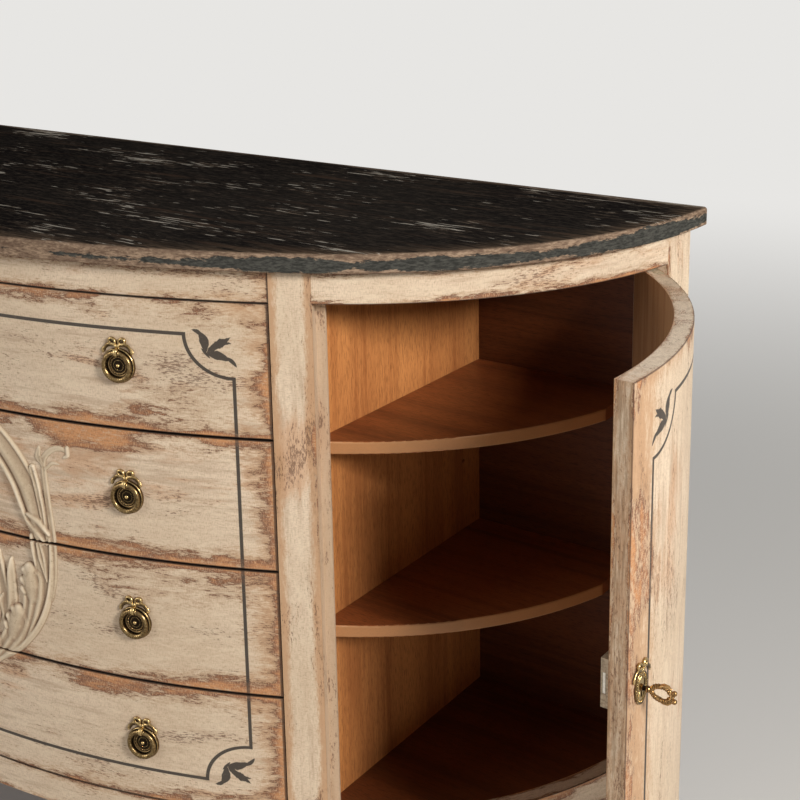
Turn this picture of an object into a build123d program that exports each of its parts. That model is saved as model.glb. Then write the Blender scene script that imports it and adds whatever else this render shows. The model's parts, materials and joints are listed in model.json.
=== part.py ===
from build123d import *
from math import acos, asin, copysign, cos, degrees, radians, sin, sqrt
import os

os.makedirs("parts", exist_ok=True)

# A half-moon credenza: a flat bowed front with a stack of drawers between two curved cupboard doors.
# It is modelled about the middle of its back line, X to the right, Y to the wall, Z up, floor at 0,
# and write_part moves every piece to the part's origin, on the floor below the middle of its box.

# Whole piece
total_height = 914
slab_thickness = 23
slab_overhang = 16
slab_back_overhang = 12
slab_top_round = 4
slab_bottom_round = 2

# Front outline in plan: a wide arc over the drawers runs into a tighter arc over each door
end_radius = 493
end_centre_x = 332
bow_rise = 81

# Front levels
frieze_height = 39
drawer_pitch = 165
drawer_count = 4
front_gap = 3
front_round = 1
base_rail_height = 42
rail_thickness = 22

# Front legs, with the rebate and the stop that each door closes on
leg_width = 44.5
rebate_clearance = 0.5
stop_width = 11
stop_thickness = 6
foot_share = 0.58

# Rear legs
rear_leg_width = 50
rear_leg_depth = 54

# Inner case
divider_face_setback = 22.5
divider_thickness = 18
back_panel_thickness = 12
back_frame_thickness = 29
back_rail_height = 60
bottom_board_thickness = 18
panel_clearance = 0.5

# Shelves and their pins
shelf_thickness = 16
shelf_inset = 29
shelf_round = 2
shelf_drops = {"upper": 175, "lower": 411}
spare_hole_drop = 311
pin_radius = 3
pin_depth = 10
pin_reach = 10
pin_clearance = 0.05
rear_pin_setback = 41
front_pin_inset = 55
back_pin_setback = 85

# Drawers
drawer_front_thickness = 20
drawer_side_gap = 1.5
box_side_gap = 14.5
box_side_thickness = 12
box_top_gap = 18
box_lift = 14
box_bottom_thickness = 6
box_bottom_lift = 8
box_back_gap = 22
runner_ledge_width = 33
runner_ledge_thickness = 12
runner_guide_clearance = 1
runner_guide_height = 20
runner_end_gap = 5

# Carved wreath, laid on the middle of the drawer fronts
wreath_half_width = 231
wreath_lap = 50
wreath_sag = 14
wreath_thickness = 7
wreath_hole_half_width = 140
wreath_hole_half_height = 130

# Drawer pulls: a round back plate with a bow above it, and a ring that hangs in an eye
pull_setback = 176
pull_sag = 3.5
plate_radius = 21.5
plate_thickness = 2
plate_rim_width = 2.5
plate_rim_height = 0.5
plate_bead_radius = 11.5
plate_bead_width = 1.2
plate_stud_radius = 2.7
plate_stud_height = 2
ring_radius = 16.75
ring_wire_radius = 3.2
ring_standoff = 6
ring_bead_radius = 3.8
ring_bead_width = 4.5
ring_bead_round = 0.5
eye_radius = 6
eye_hole_radius = 3.7
eye_width = 5
eye_foot = 1
bolt_radius = 2.5
bolt_hole_clearance = 0.1
nut_radius = 5
nut_thickness = 4
nut_clearance = 0.05
nut_seat_gap = 0.05
bolt_tail = 1

# Bow of ribbon, on the pulls and on the keyhole plates
bow_thickness = 2.4
knot_radius = 3.4
loop_long = 5.6
loop_short = 4.4
loop_hole_long = 2.8
loop_hole_short = 1.8
loop_side = 6.2
loop_rise = 5.5
loop_turn = 35
ribbon_width = 3.4
ribbon_mid = (11, 0.6)
ribbon_tip = (20.5, -7.5)
pull_bow_rise = 24
escutcheon_bow_rise = 20

# Doors and their pivots
door_thickness = 22
door_gap = 2
heel_gap = 3.5
pivot_setback = 22
pivot_inset = 8
open_angle = 58.9
leaf_inset = 2
leaf_width = 12
leaf_length = 50
leaf_thickness = 2.5
frame_leaf_length = 52
pivot_pin_radius = 2.5
pivot_pin_reach = 9
pivot_hole_clearance = 0.05
pivot_well_radius = 4
pivot_well_depth = 9
washer_radius = 5
washer_clearance = 0.3
screw_radius = 2
screw_length = 14
screw_clearance = 0.05
screw_setbacks = (31, 44)

# Keyhole plate, lock, bolt and key, all placed from the key's axis
key_setback = 27
keyhole_radius = 2.6
keyhole_slot_width = 3.2
keyhole_slot_drop = 11
escutcheon_half_width = 12.5
escutcheon_half_height = 18
escutcheon_thickness = 2
door_keyhole_radius = 4.5
door_keyhole_width = 6
door_keyhole_drop = 13
lock_seat_gap = 0.8
lock_near_side = 14.5
lock_far_side = 25.5
lock_half_height = 27.5
lock_depth = 14
lock_wall = 2
bolt_bar_thickness = 3
bolt_bar_half_height = 11.5
bolt_bar_length = 28
bolt_bar_clearance = 0.3
key_shaft_radius = 2.4
key_shaft_out = 12
key_shaft_in = 29.5
key_collar_radius = 3.6
key_collar_at = 8
key_collar_length = 2.5
key_bow_half_length = 13
key_bow_half_width = 9.5
key_bow_wire = 4
key_bow_hole_half_length = 8.5
key_bow_hole_half_width = 5.5
key_ball_radius = 3
key_ball_side = 4.5
key_ball_out = 14
key_bow_bite = 1
key_bow_round = 1.2
key_bit_thickness = 2
key_bit_drop = 9.5
key_bit_width = 4.2

# One overrun for every cut that passes a face
overrun = 1

# Worked out from the sizes above
slab_bottom = total_height - slab_thickness
frieze_bottom = slab_bottom - frieze_height
front_bottom = frieze_bottom - drawer_count * drawer_pitch
foot_height = front_bottom - base_rail_height
front_depth = end_radius + bow_rise
case_half_width = end_centre_x + end_radius
case_back_y = -slab_back_overhang
rear_leg_front_y = case_back_y - rear_leg_depth
rear_leg_inner_x = case_half_width - rear_leg_width
back_panel_back_y = case_back_y - back_frame_thickness
back_panel_front_y = back_panel_back_y - back_panel_thickness
bow_centre_y = (end_centre_x**2 - bow_rise**2) / (2 * bow_rise)
bow_radius = bow_centre_y + front_depth
turn_angle = degrees(asin(end_centre_x / (bow_radius - end_radius)))
leg_inner_x = end_centre_x + end_radius * sin(radians(turn_angle)) - leg_width
divider_face_x = leg_inner_x + divider_face_setback


def front_point(angle, inset=0):
    """Point behind the front face by inset, where the face is turned by angle from straight ahead."""
    turned = radians(angle)
    if abs(angle) <= turn_angle:
        radius = bow_radius - inset
        return (radius * sin(turned), bow_centre_y - radius * cos(turned))
    radius = end_radius - inset
    return (copysign(end_centre_x, angle) + radius * sin(turned), -radius * cos(turned))


def angle_at_x(x, inset=0):
    """Angle by which the front is turned at a distance x from the middle."""
    if abs(x) <= front_point(turn_angle, inset)[0]:
        return degrees(asin(x / (bow_radius - inset)))
    return copysign(degrees(asin((abs(x) - end_centre_x) / (end_radius - inset))), x)


def angle_at_y(y, inset=0):
    """Angle by which the right half of the front is turned where it passes a line across the piece."""
    if y < front_point(turn_angle, inset)[1]:
        return degrees(acos((bow_centre_y - y) / (bow_radius - inset)))
    return degrees(acos(-y / (end_radius - inset)))


def front_edges(start, stop, inset=0):
    """Arcs of the front outline from one turned angle to another."""
    breaks = [angle for angle in (-turn_angle, turn_angle) if start < angle < stop]
    stops = [start, *breaks, stop]
    with BuildLine() as line:
        for first, last in zip(stops, stops[1:]):
            middle = (first + last) / 2
            ThreePointArc(front_point(first, inset), front_point(middle, inset), front_point(last, inset))
    return line.edges()


def polyline_edges(*points):
    with BuildLine() as line:
        Polyline(*points)
    return line.edges()


def band_edges(outer, inner, outer_inset, inner_inset):
    """Outline of a strip that follows the front, between two insets and two pairs of turned angles."""
    ends = [
        polyline_edges(front_point(first, outer_inset), front_point(last, inner_inset))[0]
        for first, last in zip(outer, inner)
    ]
    return [*front_edges(*outer, outer_inset), *front_edges(*inner, inner_inset), *ends]


def front_plane(angle, z, inset=0):
    """Plane on the front: local X along the front, local Y up, local Z outwards."""
    turned = radians(angle)
    x, y = front_point(angle, inset)
    return Plane(origin=(x, y, z), x_dir=(cos(turned), sin(turned), 0), z_dir=(sin(turned), -cos(turned), 0))


def side_plane(plane, x, y, z):
    """Plane across a front plane, at a local point: its normal runs along the front."""
    return Plane(origin=plane.from_local_coords((x, y, z)), x_dir=plane.z_dir, z_dir=plane.x_dir)


# The doors turn on pins near their heels. The right door is stored open and the left one shut.
free_angle = turn_angle + degrees(asin(door_gap / end_radius))
heel_angle = angle_at_y(rear_leg_front_y - heel_gap)
pivot_angle = angle_at_y(rear_leg_front_y - pivot_setback, pivot_inset)
pivot = front_point(pivot_angle, pivot_inset)
door_bottom = front_bottom + door_gap
door_top = frieze_bottom - door_gap
key_angle = free_angle + degrees(key_setback / end_radius)
key_z = (door_bottom + door_top) / 2

# The part's origin is the middle of the floor that it covers with the right door open
key_bow_out = key_shaft_out + key_bow_half_length - key_bow_bite
key_reach = key_bow_out + key_ball_out + key_ball_radius
arm_x = end_centre_x - pivot[0]
arm_y = -pivot[1]
open_centre_x = pivot[0] + arm_x * cos(radians(open_angle)) - arm_y * sin(radians(open_angle))
open_reach = open_centre_x + end_radius + key_reach
middle_x = (open_reach - case_half_width - slab_overhang) / 2
middle_y = -(front_depth + slab_overhang) / 2


def outer_face(builder):
    return builder.faces().filter_by(GeomType.CYLINDER).sort_by(SortBy.AREA)[-1]


def opened(shape):
    """A right-hand piece turned with its door from shut to the stored pose."""
    return shape.rotate(Axis((pivot[0], pivot[1], 0), (0, 0, 1)), open_angle)


def mirrored(shape):
    return mirror(shape, about=Plane.YZ)


def write_part(shape, label):
    """Moves a piece to the part's origin, names it and writes it."""
    with BuildPart() as placed:
        add(shape.moved(Location((-middle_x, -middle_y, 0))))
    placed.part.label = label
    export_step(placed.part, f"parts/{label}.step")


def write_pair(shape, label):
    """A piece of the fixed case, on the right and mirrored on the left."""
    write_part(shape, f"right_{label}")
    write_part(mirrored(shape), f"left_{label}")


def write_door_pair(shape, label):
    """A piece that goes with a door: open on the right, shut on the left."""
    write_part(opened(shape), f"right_{label}")
    write_part(mirrored(shape), f"left_{label}")


# Top slab
with BuildPart() as top_slab:
    with BuildSketch(Plane.XY.offset(slab_bottom)):
        back_ends = [front_point(-90, -slab_overhang), front_point(90, -slab_overhang)]
        make_face([*front_edges(-90, 90, -slab_overhang), *polyline_edges(*back_ends)])
    extrude(amount=slab_thickness)
    fillet(top_slab.faces().sort_by(Axis.Z)[-1].edges().filter_by(GeomType.CIRCLE), slab_top_round)
    fillet(top_slab.faces().sort_by(Axis.Z)[0].edges().filter_by(GeomType.CIRCLE), slab_bottom_round)
write_part(top_slab.part, "top_slab")


# Frieze rails under the slab and base rails under the fronts
def front_rail(outer, inner, z, height):
    with BuildPart() as rail:
        with BuildSketch(Plane.XY.offset(z)):
            make_face(band_edges(outer, inner, 0, rail_thickness))
        extrude(amount=height)
    return rail.part


centre_outer = angle_at_x(leg_inner_x)
centre_inner = angle_at_x(leg_inner_x, rail_thickness)
centre_spans = [(-centre_outer, centre_outer), (-centre_inner, centre_inner)]
side_spans = [
    (turn_angle, angle_at_y(rear_leg_front_y)),
    (turn_angle, angle_at_y(rear_leg_front_y, rail_thickness)),
]


# Leaf of a pivot hinge: a strip let into an edge, with its pin hole or pin at the pivot
def leaf_band(start, stop):
    return band_edges((start, stop), (start, stop), leaf_inset, leaf_inset + leaf_width)


def draw_screws(radius, mode=Mode.ADD):
    for setback in screw_setbacks:
        with Locations(front_point(heel_angle - degrees(setback / end_radius), pivot_inset)):
            Circle(radius, mode=mode)


door_leaf_span = (heel_angle - degrees(leaf_length / end_radius), heel_angle)
frame_leaf_span = (heel_angle - degrees(frame_leaf_length / end_radius), heel_angle)

write_part(front_rail(*centre_spans, frieze_bottom, frieze_height), "centre_frieze_rail")
write_part(front_rail(*centre_spans, foot_height, base_rail_height), "centre_base_rail")

with BuildPart() as frieze_rail:
    add(front_rail(*side_spans, frieze_bottom, frieze_height))
    with BuildSketch(Plane.XY.offset(frieze_bottom)):
        make_face(leaf_band(*frame_leaf_span))
    extrude(amount=leaf_thickness, mode=Mode.SUBTRACT)
    with BuildSketch(Plane.XY.offset(frieze_bottom)):
        draw_screws(screw_radius + screw_clearance)
    extrude(amount=screw_length, mode=Mode.SUBTRACT)
write_pair(frieze_rail.part, "frieze_rail")

with BuildPart() as base_rail:
    add(front_rail(*side_spans, foot_height, base_rail_height))
    with BuildSketch(Plane.XY.offset(front_bottom)):
        make_face(leaf_band(*frame_leaf_span))
    extrude(amount=-leaf_thickness, mode=Mode.SUBTRACT)
    with BuildSketch(Plane.XY.offset(front_bottom)):
        draw_screws(screw_radius + screw_clearance)
    extrude(amount=-screw_length, mode=Mode.SUBTRACT)
write_pair(base_rail.part, "base_rail")


# Legs: each runs from the slab to the floor and tapers below the base rails
def shrunk(point, centre, share):
    return tuple(middle + share * (place - middle) for place, middle in zip(point, centre))


def foot_face(corners, arc_middle, share):
    """Section of a foot: an arc from the first corner to the second, then straight sides."""
    centre = [sum(corner[axis] for corner in corners) / len(corners) for axis in (0, 1)]
    points = [shrunk(corner, centre, share) for corner in corners]
    with BuildLine() as line:
        ThreePointArc(points[0], shrunk(arc_middle, centre, share), points[1])
        Polyline(*points[1:], points[0])
    make_face(line.edges())


leg_start_angle = angle_at_x(leg_inner_x)
tangent = (cos(radians(turn_angle)), sin(radians(turn_angle)))
rebate_depth = door_thickness + rebate_clearance
rebate_corner = front_point(turn_angle, rebate_depth)
stop_front = (rebate_corner[0] + stop_width * tangent[0], rebate_corner[1] + stop_width * tangent[1])
stop_shift = (-stop_thickness * tangent[1], stop_thickness * tangent[0])
stop_back = (stop_front[0] + stop_shift[0], stop_front[1] + stop_shift[1])
leg_back = (
    rebate_corner[0] + stop_shift[0] - stop_thickness * tangent[0],
    rebate_corner[1] + stop_shift[1] - stop_thickness * tangent[1],
)
leg_back_y = leg_back[1]

with BuildPart() as front_leg:
    with BuildSketch(Plane.XY.offset(foot_height)):
        leg_arc = front_edges(leg_start_angle, turn_angle)
        leg_sides = polyline_edges(
            front_point(turn_angle),
            rebate_corner,
            stop_front,
            stop_back,
            leg_back,
            (leg_inner_x, leg_back_y),
            front_point(leg_start_angle),
        )
        make_face([*leg_arc, *leg_sides])
    extrude(amount=slab_bottom - foot_height)
    leg_corners = [
        front_point(leg_start_angle),
        front_point(turn_angle),
        rebate_corner,
        (leg_inner_x, leg_back_y),
    ]
    for height, share in ((foot_height, 1), (0, foot_share)):
        with BuildSketch(Plane.XY.offset(height)):
            foot_face(leg_corners, front_point((leg_start_angle + turn_angle) / 2), share)
    loft(ruled=True)
write_pair(front_leg.part, "front_leg")

rear_start_angle = angle_at_y(rear_leg_front_y)
rear_stop_angle = angle_at_y(case_back_y)
shelf_pin_y = (rear_leg_front_y + back_panel_front_y) / 2


def shelf_bottom(name):
    return frieze_bottom - shelf_drops[name] - shelf_thickness


def pin_z(name):
    return shelf_bottom(name) - pin_radius


with BuildPart() as rear_leg:
    with BuildSketch(Plane.XY.offset(foot_height)):
        rear_arc = front_edges(rear_start_angle, rear_stop_angle)
        rear_sides = polyline_edges(
            front_point(rear_stop_angle),
            (rear_leg_inner_x, case_back_y),
            (rear_leg_inner_x, rear_leg_front_y),
            front_point(rear_start_angle),
        )
        make_face([*rear_arc, *rear_sides])
    extrude(amount=slab_bottom - foot_height)
    rear_corners = [
        front_point(rear_start_angle),
        front_point(rear_stop_angle),
        (rear_leg_inner_x, case_back_y),
        (rear_leg_inner_x, rear_leg_front_y),
    ]
    for height, share in ((foot_height, 1), (0, foot_share)):
        with BuildSketch(Plane.XY.offset(height)):
            foot_face(rear_corners, front_point((rear_start_angle + rear_stop_angle) / 2), share)
    loft(ruled=True)
    with BuildSketch(Plane.YZ.offset(rear_leg_inner_x)):
        with Locations(*[(shelf_pin_y, pin_z(name)) for name in shelf_drops]):
            Circle(pin_radius + pin_clearance)
    extrude(amount=pin_depth, mode=Mode.SUBTRACT)
write_pair(rear_leg.part, "rear_leg")

# Bottom board, notched round the four legs
with BuildPart() as bottom_board:
    with BuildSketch(Plane.XY.offset(front_bottom - bottom_board_thickness)):
        board_ends = [front_point(-90, rail_thickness), front_point(90, rail_thickness)]
        make_face([*front_edges(-90, 90, rail_thickness), *polyline_edges(*board_ends)])
        with Locations((0, case_back_y)):
            Rectangle(
                2 * case_half_width,
                slab_back_overhang + overrun,
                align=(Align.CENTER, Align.MIN),
                mode=Mode.SUBTRACT,
            )
        for side in (-1, 1):
            with Locations((side * rear_leg_inner_x, rear_leg_front_y)):
                Rectangle(
                    2 * rear_leg_width,
                    rear_leg_depth + overrun,
                    align=(Align.MIN if side > 0 else Align.MAX, Align.MIN),
                    mode=Mode.SUBTRACT,
                )
            with Locations((side * leg_inner_x, leg_back_y + stop_width)):
                Rectangle(
                    rebate_corner[0] + 2 * stop_width - leg_inner_x,
                    front_depth,
                    align=(Align.MIN if side > 0 else Align.MAX, Align.MAX),
                    mode=Mode.SUBTRACT,
                )
    extrude(amount=bottom_board_thickness)
write_part(bottom_board.part, "bottom_board")

# Dividers between the drawers and the cupboards
rear_pin_y = back_panel_front_y - rear_pin_setback
front_pin_y = leg_back_y + front_pin_inset
with BuildPart() as divider:
    with BuildSketch(Plane.XY.offset(front_bottom)):
        with Locations((divider_face_x, back_panel_front_y)):
            Rectangle(divider_thickness, back_panel_front_y - leg_back_y, align=(Align.MAX, Align.MAX))
    extrude(amount=slab_bottom - front_bottom)
    with BuildSketch(Plane.YZ.offset(divider_face_x)):
        with Locations(*[(y, pin_z(name)) for name in shelf_drops for y in (rear_pin_y, front_pin_y)]):
            Circle(pin_radius + pin_clearance)
        with Locations((rear_pin_y, frieze_bottom - spare_hole_drop)):
            Circle(pin_radius + pin_clearance)
    extrude(amount=-pin_depth, mode=Mode.SUBTRACT)
write_pair(divider.part, "divider")

# Back panel and the rail behind its top edge
back_pin_x = rear_leg_inner_x - back_pin_setback
with BuildPart() as back_panel:
    with BuildSketch(Plane.XY.offset(front_bottom)):
        with Locations((0, back_panel_front_y)):
            Rectangle(2 * rear_leg_inner_x, back_panel_thickness, align=(Align.CENTER, Align.MIN))
    extrude(amount=slab_bottom - front_bottom)
    with BuildSketch(Plane.XZ.offset(-back_panel_front_y)):
        with Locations(*[(side * back_pin_x, pin_z(name)) for name in shelf_drops for side in (-1, 1)]):
            Circle(pin_radius + pin_clearance)
    extrude(amount=-pin_depth, mode=Mode.SUBTRACT)
write_part(back_panel.part, "back_panel")

with BuildPart() as back_rail:
    with BuildSketch(Plane.XY.offset(slab_bottom - back_rail_height)):
        with Locations((0, case_back_y)):
            Rectangle(2 * rear_leg_inner_x, back_frame_thickness, align=(Align.CENTER, Align.MAX))
    extrude(amount=back_rail_height)
write_part(back_rail.part, "back_top_rail")

# Shelves, with fronts that run parallel to the doors
shelf_front_y = leg_back_y + panel_clearance
shelf_left_x = divider_face_x + panel_clearance
shelf_right_x = rear_leg_inner_x - panel_clearance
shelf_back_y = back_panel_front_y - panel_clearance
shelf_start_angle = angle_at_y(shelf_front_y, shelf_inset)
shelf_stop_angle = angle_at_x(shelf_right_x, shelf_inset)
for name in shelf_drops:
    with BuildPart() as shelf:
        with BuildSketch(Plane.XY.offset(shelf_bottom(name))):
            shelf_sides = polyline_edges(
                front_point(shelf_stop_angle, shelf_inset),
                (shelf_right_x, shelf_back_y),
                (shelf_left_x, shelf_back_y),
                (shelf_left_x, shelf_front_y),
                front_point(shelf_start_angle, shelf_inset),
            )
            make_face([*front_edges(shelf_start_angle, shelf_stop_angle, shelf_inset), *shelf_sides])
        extrude(amount=shelf_thickness)
        fillet(shelf.edges().filter_by(GeomType.CIRCLE), shelf_round)
    write_pair(shelf.part, f"{name}_shelf")

with BuildPart() as shelf_pins:
    for side in (-1, 1):
        with BuildSketch(Plane.YZ.offset(side * (divider_face_x - pin_depth))):
            with Locations(*[(y, pin_z(name)) for name in shelf_drops for y in (rear_pin_y, front_pin_y)]):
                Circle(pin_radius)
        extrude(amount=side * (pin_depth + pin_reach))
        with BuildSketch(Plane.YZ.offset(side * (rear_leg_inner_x + pin_depth))):
            with Locations(*[(shelf_pin_y, pin_z(name)) for name in shelf_drops]):
                Circle(pin_radius)
        extrude(amount=-side * (pin_depth + pin_reach))
    with BuildSketch(Plane.XZ.offset(-back_panel_front_y - pin_depth)):
        with Locations(*[(side * back_pin_x, pin_z(name)) for name in shelf_drops for side in (-1, 1)]):
            Circle(pin_radius)
    extrude(amount=pin_depth + pin_reach)
write_part(shelf_pins.part, "shelf_pins")


# Drawers, counted from the top. Each has a bowed front, and a box whose sides run to its inner face.
def drawer_bottom(index):
    return frieze_bottom - (index + 1) * drawer_pitch + front_gap / 2


def pull_z(index):
    return frieze_bottom - (index + 0.5) * drawer_pitch - pull_sag


drawer_numbers = range(drawer_count)
drawer_height = drawer_pitch - front_gap
drawer_half_width = leg_inner_x - drawer_side_gap
box_half_width = leg_inner_x - box_side_gap
box_height = drawer_height - box_lift - box_top_gap
drawer_outer = angle_at_x(drawer_half_width)
drawer_inner = angle_at_x(drawer_half_width, drawer_front_thickness)
pull_angle = angle_at_x(leg_inner_x - pull_setback)
pull_angles = {"left": -pull_angle, "right": pull_angle}
box_front_angle = angle_at_x(box_half_width, drawer_front_thickness)
box_back_y = back_panel_front_y - box_back_gap
box_inner_half_width = box_half_width - box_side_thickness

for index in drawer_numbers:
    with BuildPart() as drawer_front:
        with BuildSketch(Plane.XY.offset(drawer_bottom(index))):
            outer_ends = (-drawer_outer, drawer_outer)
            inner_ends = (-drawer_inner, drawer_inner)
            make_face(band_edges(outer_ends, inner_ends, 0, drawer_front_thickness))
        extrude(amount=drawer_height)
        fillet(outer_face(drawer_front).edges(), front_round)
        for angle in pull_angles.values():
            with BuildSketch(front_plane(angle, pull_z(index))):
                Circle(bolt_radius + bolt_hole_clearance)
            extrude(amount=drawer_front_thickness + overrun, both=True, mode=Mode.SUBTRACT)
    write_part(drawer_front.part, f"drawer_{index + 1}_front")

    box_bottom = drawer_bottom(index) + box_lift
    with BuildPart() as box:
        with BuildSketch(Plane.XY.offset(box_bottom)):
            box_sides = polyline_edges(
                front_point(box_front_angle, drawer_front_thickness),
                (box_half_width, box_back_y),
                (-box_half_width, box_back_y),
                front_point(-box_front_angle, drawer_front_thickness),
            )
            make_face([*front_edges(-box_front_angle, box_front_angle, drawer_front_thickness), *box_sides])
        extrude(amount=box_height)
        floor_top = box_bottom_lift + box_bottom_thickness
        for start, height in ((floor_top, box_height), (0, box_bottom_lift)):
            with BuildSketch(Plane.XY.offset(box_bottom + start)):
                with Locations((0, box_back_y - box_side_thickness)):
                    Rectangle(2 * box_inner_half_width, front_depth, align=(Align.CENTER, Align.MAX))
            extrude(amount=height, mode=Mode.SUBTRACT)
    write_part(box.part, f"drawer_{index + 1}_box")

# Drawer runners: under each side of a box a ledge to slide on, with a guide beside it
ledge_edge_x = divider_face_x - divider_thickness
guide_width = ledge_edge_x - box_half_width - runner_guide_clearance
runner_front_y = leg_back_y + runner_end_gap
runner_length = back_panel_front_y - runner_end_gap - runner_front_y
with BuildPart() as drawer_runners:
    for index in drawer_numbers:
        ledge_top = drawer_bottom(index) + box_lift
        for side in (-1, 1):
            outward = Align.MAX if side > 0 else Align.MIN
            with Locations((side * ledge_edge_x, runner_front_y, ledge_top)):
                Box(
                    runner_ledge_width,
                    runner_length,
                    runner_ledge_thickness,
                    align=(outward, Align.MIN, Align.MAX),
                )
                Box(guide_width, runner_length, runner_guide_height, align=(outward, Align.MIN, Align.MIN))
write_part(drawer_runners.part, "drawer_runners")

# Carved wreath: an oval ring of carving that the gaps between the drawers cut across
wreath_z = (frieze_bottom + front_bottom) / 2 - wreath_sag
wreath_half_height = drawer_pitch + wreath_lap
for index in drawer_numbers:
    with BuildPart() as wreath:
        with BuildSketch(Plane.XY.offset(drawer_bottom(index))):
            wreath_ends = (-drawer_outer, drawer_outer)
            make_face(band_edges(wreath_ends, wreath_ends, 0, -wreath_thickness))
        extrude(amount=drawer_height)
        with BuildSketch(Plane.XZ):
            with Locations((0, wreath_z)):
                Ellipse(wreath_half_width, wreath_half_height)
                Ellipse(wreath_hole_half_width, wreath_hole_half_height, mode=Mode.SUBTRACT)
        extrude(amount=front_depth + slab_overhang, mode=Mode.INTERSECT)
    write_part(wreath.part, f"carved_wreath_{index + 1}")


# Bow of ribbon, drawn about its knot
def draw_bow(rise):
    for side in (-1, 1):
        with Locations((side * loop_side, rise + loop_rise)):
            Ellipse(loop_long, loop_short, rotation=side * loop_turn)
    for side in (-1, 1):
        with Locations((side * loop_side, rise + loop_rise)):
            Ellipse(loop_hole_long, loop_hole_short, rotation=side * loop_turn, mode=Mode.SUBTRACT)
    with Locations((0, rise)):
        Circle(knot_radius)
    for side in (-1, 1):
        ribbon = polyline_edges(
            (0, rise),
            (side * ribbon_mid[0], rise + ribbon_mid[1]),
            (side * ribbon_tip[0], rise + ribbon_tip[1]),
        )
        trace(lines=ribbon, line_width=ribbon_width)


# Drawer pulls
for index in drawer_numbers:
    with BuildPart() as pull_plates:
        for angle in pull_angles.values():
            plane = front_plane(angle, pull_z(index))
            plate_top = plane.offset(plate_thickness)
            with BuildSketch(plane):
                Circle(plate_radius)
            extrude(amount=plate_thickness)
            with BuildSketch(plane):
                draw_bow(pull_bow_rise)
            extrude(amount=bow_thickness)
            with BuildSketch(plate_top):
                Circle(plate_radius)
                Circle(plate_radius - plate_rim_width, mode=Mode.SUBTRACT)
                Circle(plate_bead_radius)
                Circle(plate_bead_radius - plate_bead_width, mode=Mode.SUBTRACT)
            extrude(amount=plate_rim_height)
            with BuildSketch(plate_top):
                Circle(plate_stud_radius)
            extrude(amount=plate_stud_height)
            with BuildSketch(side_plane(plane, -eye_width / 2, ring_radius, ring_standoff)):
                Circle(eye_radius)
                Circle(eye_hole_radius, mode=Mode.SUBTRACT)
            extrude(amount=eye_width)
            with BuildSketch(plane):
                Circle(bolt_radius)
            extrude(amount=-(drawer_front_thickness + nut_seat_gap + nut_thickness + bolt_tail))
        for angle in pull_angles.values():
            nut_seat = -drawer_front_thickness - nut_seat_gap
            with BuildSketch(front_plane(angle, pull_z(index)).offset(nut_seat)):
                RegularPolygon(nut_radius, 6)
                Circle(bolt_radius + nut_clearance, mode=Mode.SUBTRACT)
            extrude(amount=-nut_thickness)
    write_part(pull_plates.part, f"drawer_{index + 1}_pull_plates")

    for side, angle in pull_angles.items():
        plane = front_plane(angle, pull_z(index))
        with BuildPart(plane) as ring:
            with BuildSketch(side_plane(plane, -ring_bead_width / 2, -ring_radius, ring_standoff)):
                Circle(ring_bead_radius)
            extrude(amount=ring_bead_width)
            fillet(ring.edges().filter_by(GeomType.CIRCLE), ring_bead_round)
            with Locations((0, 0, ring_standoff)):
                Torus(ring_radius, ring_wire_radius)
        write_part(ring.part, f"drawer_{index + 1}_{side}_ring")


# Doors
def draw_keyhole(radius, width, drop):
    Circle(radius)
    with Locations((0, -drop / 2)):
        Rectangle(width, drop)


lock_plane = front_plane(key_angle, key_z)
door_edges = ((door_top, -1), (door_bottom, 1))
with BuildPart() as door:
    with BuildSketch(Plane.XY.offset(door_bottom)):
        make_face(band_edges((free_angle, heel_angle), (free_angle, heel_angle), 0, door_thickness))
    extrude(amount=door_top - door_bottom)
    fillet(outer_face(door).edges(), front_round)
    for edge_z, inward in door_edges:
        with BuildSketch(Plane.XY.offset(edge_z)):
            make_face(leaf_band(*door_leaf_span))
        extrude(amount=inward * leaf_thickness, mode=Mode.SUBTRACT)
        with BuildSketch(Plane.XY.offset(edge_z)):
            with Locations(pivot):
                Circle(pivot_well_radius)
        extrude(amount=inward * pivot_well_depth, mode=Mode.SUBTRACT)
        with BuildSketch(Plane.XY.offset(edge_z)):
            draw_screws(screw_radius + screw_clearance)
        extrude(amount=inward * screw_length, mode=Mode.SUBTRACT)
    with BuildSketch(lock_plane.offset(overrun)):
        draw_keyhole(door_keyhole_radius, door_keyhole_width, door_keyhole_drop)
    extrude(amount=-(door_thickness + 2 * overrun), mode=Mode.SUBTRACT)
write_door_pair(door.part, "door")

# Pivot hinges: a leaf let into each end of a door, and one with a pin let into the rail beyond it
with BuildPart() as door_leaves:
    for edge_z, inward in door_edges:
        with BuildSketch(Plane.XY.offset(edge_z)):
            make_face(leaf_band(*door_leaf_span))
            with Locations(pivot):
                Circle(pivot_pin_radius + pivot_hole_clearance, mode=Mode.SUBTRACT)
            draw_screws(screw_radius + screw_clearance, Mode.SUBTRACT)
        extrude(amount=inward * leaf_thickness)
        with BuildSketch(Plane.XY.offset(edge_z)):
            draw_screws(screw_radius)
        extrude(amount=inward * screw_length)
write_door_pair(door_leaves.part, "door_hinge_leaves")

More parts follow.
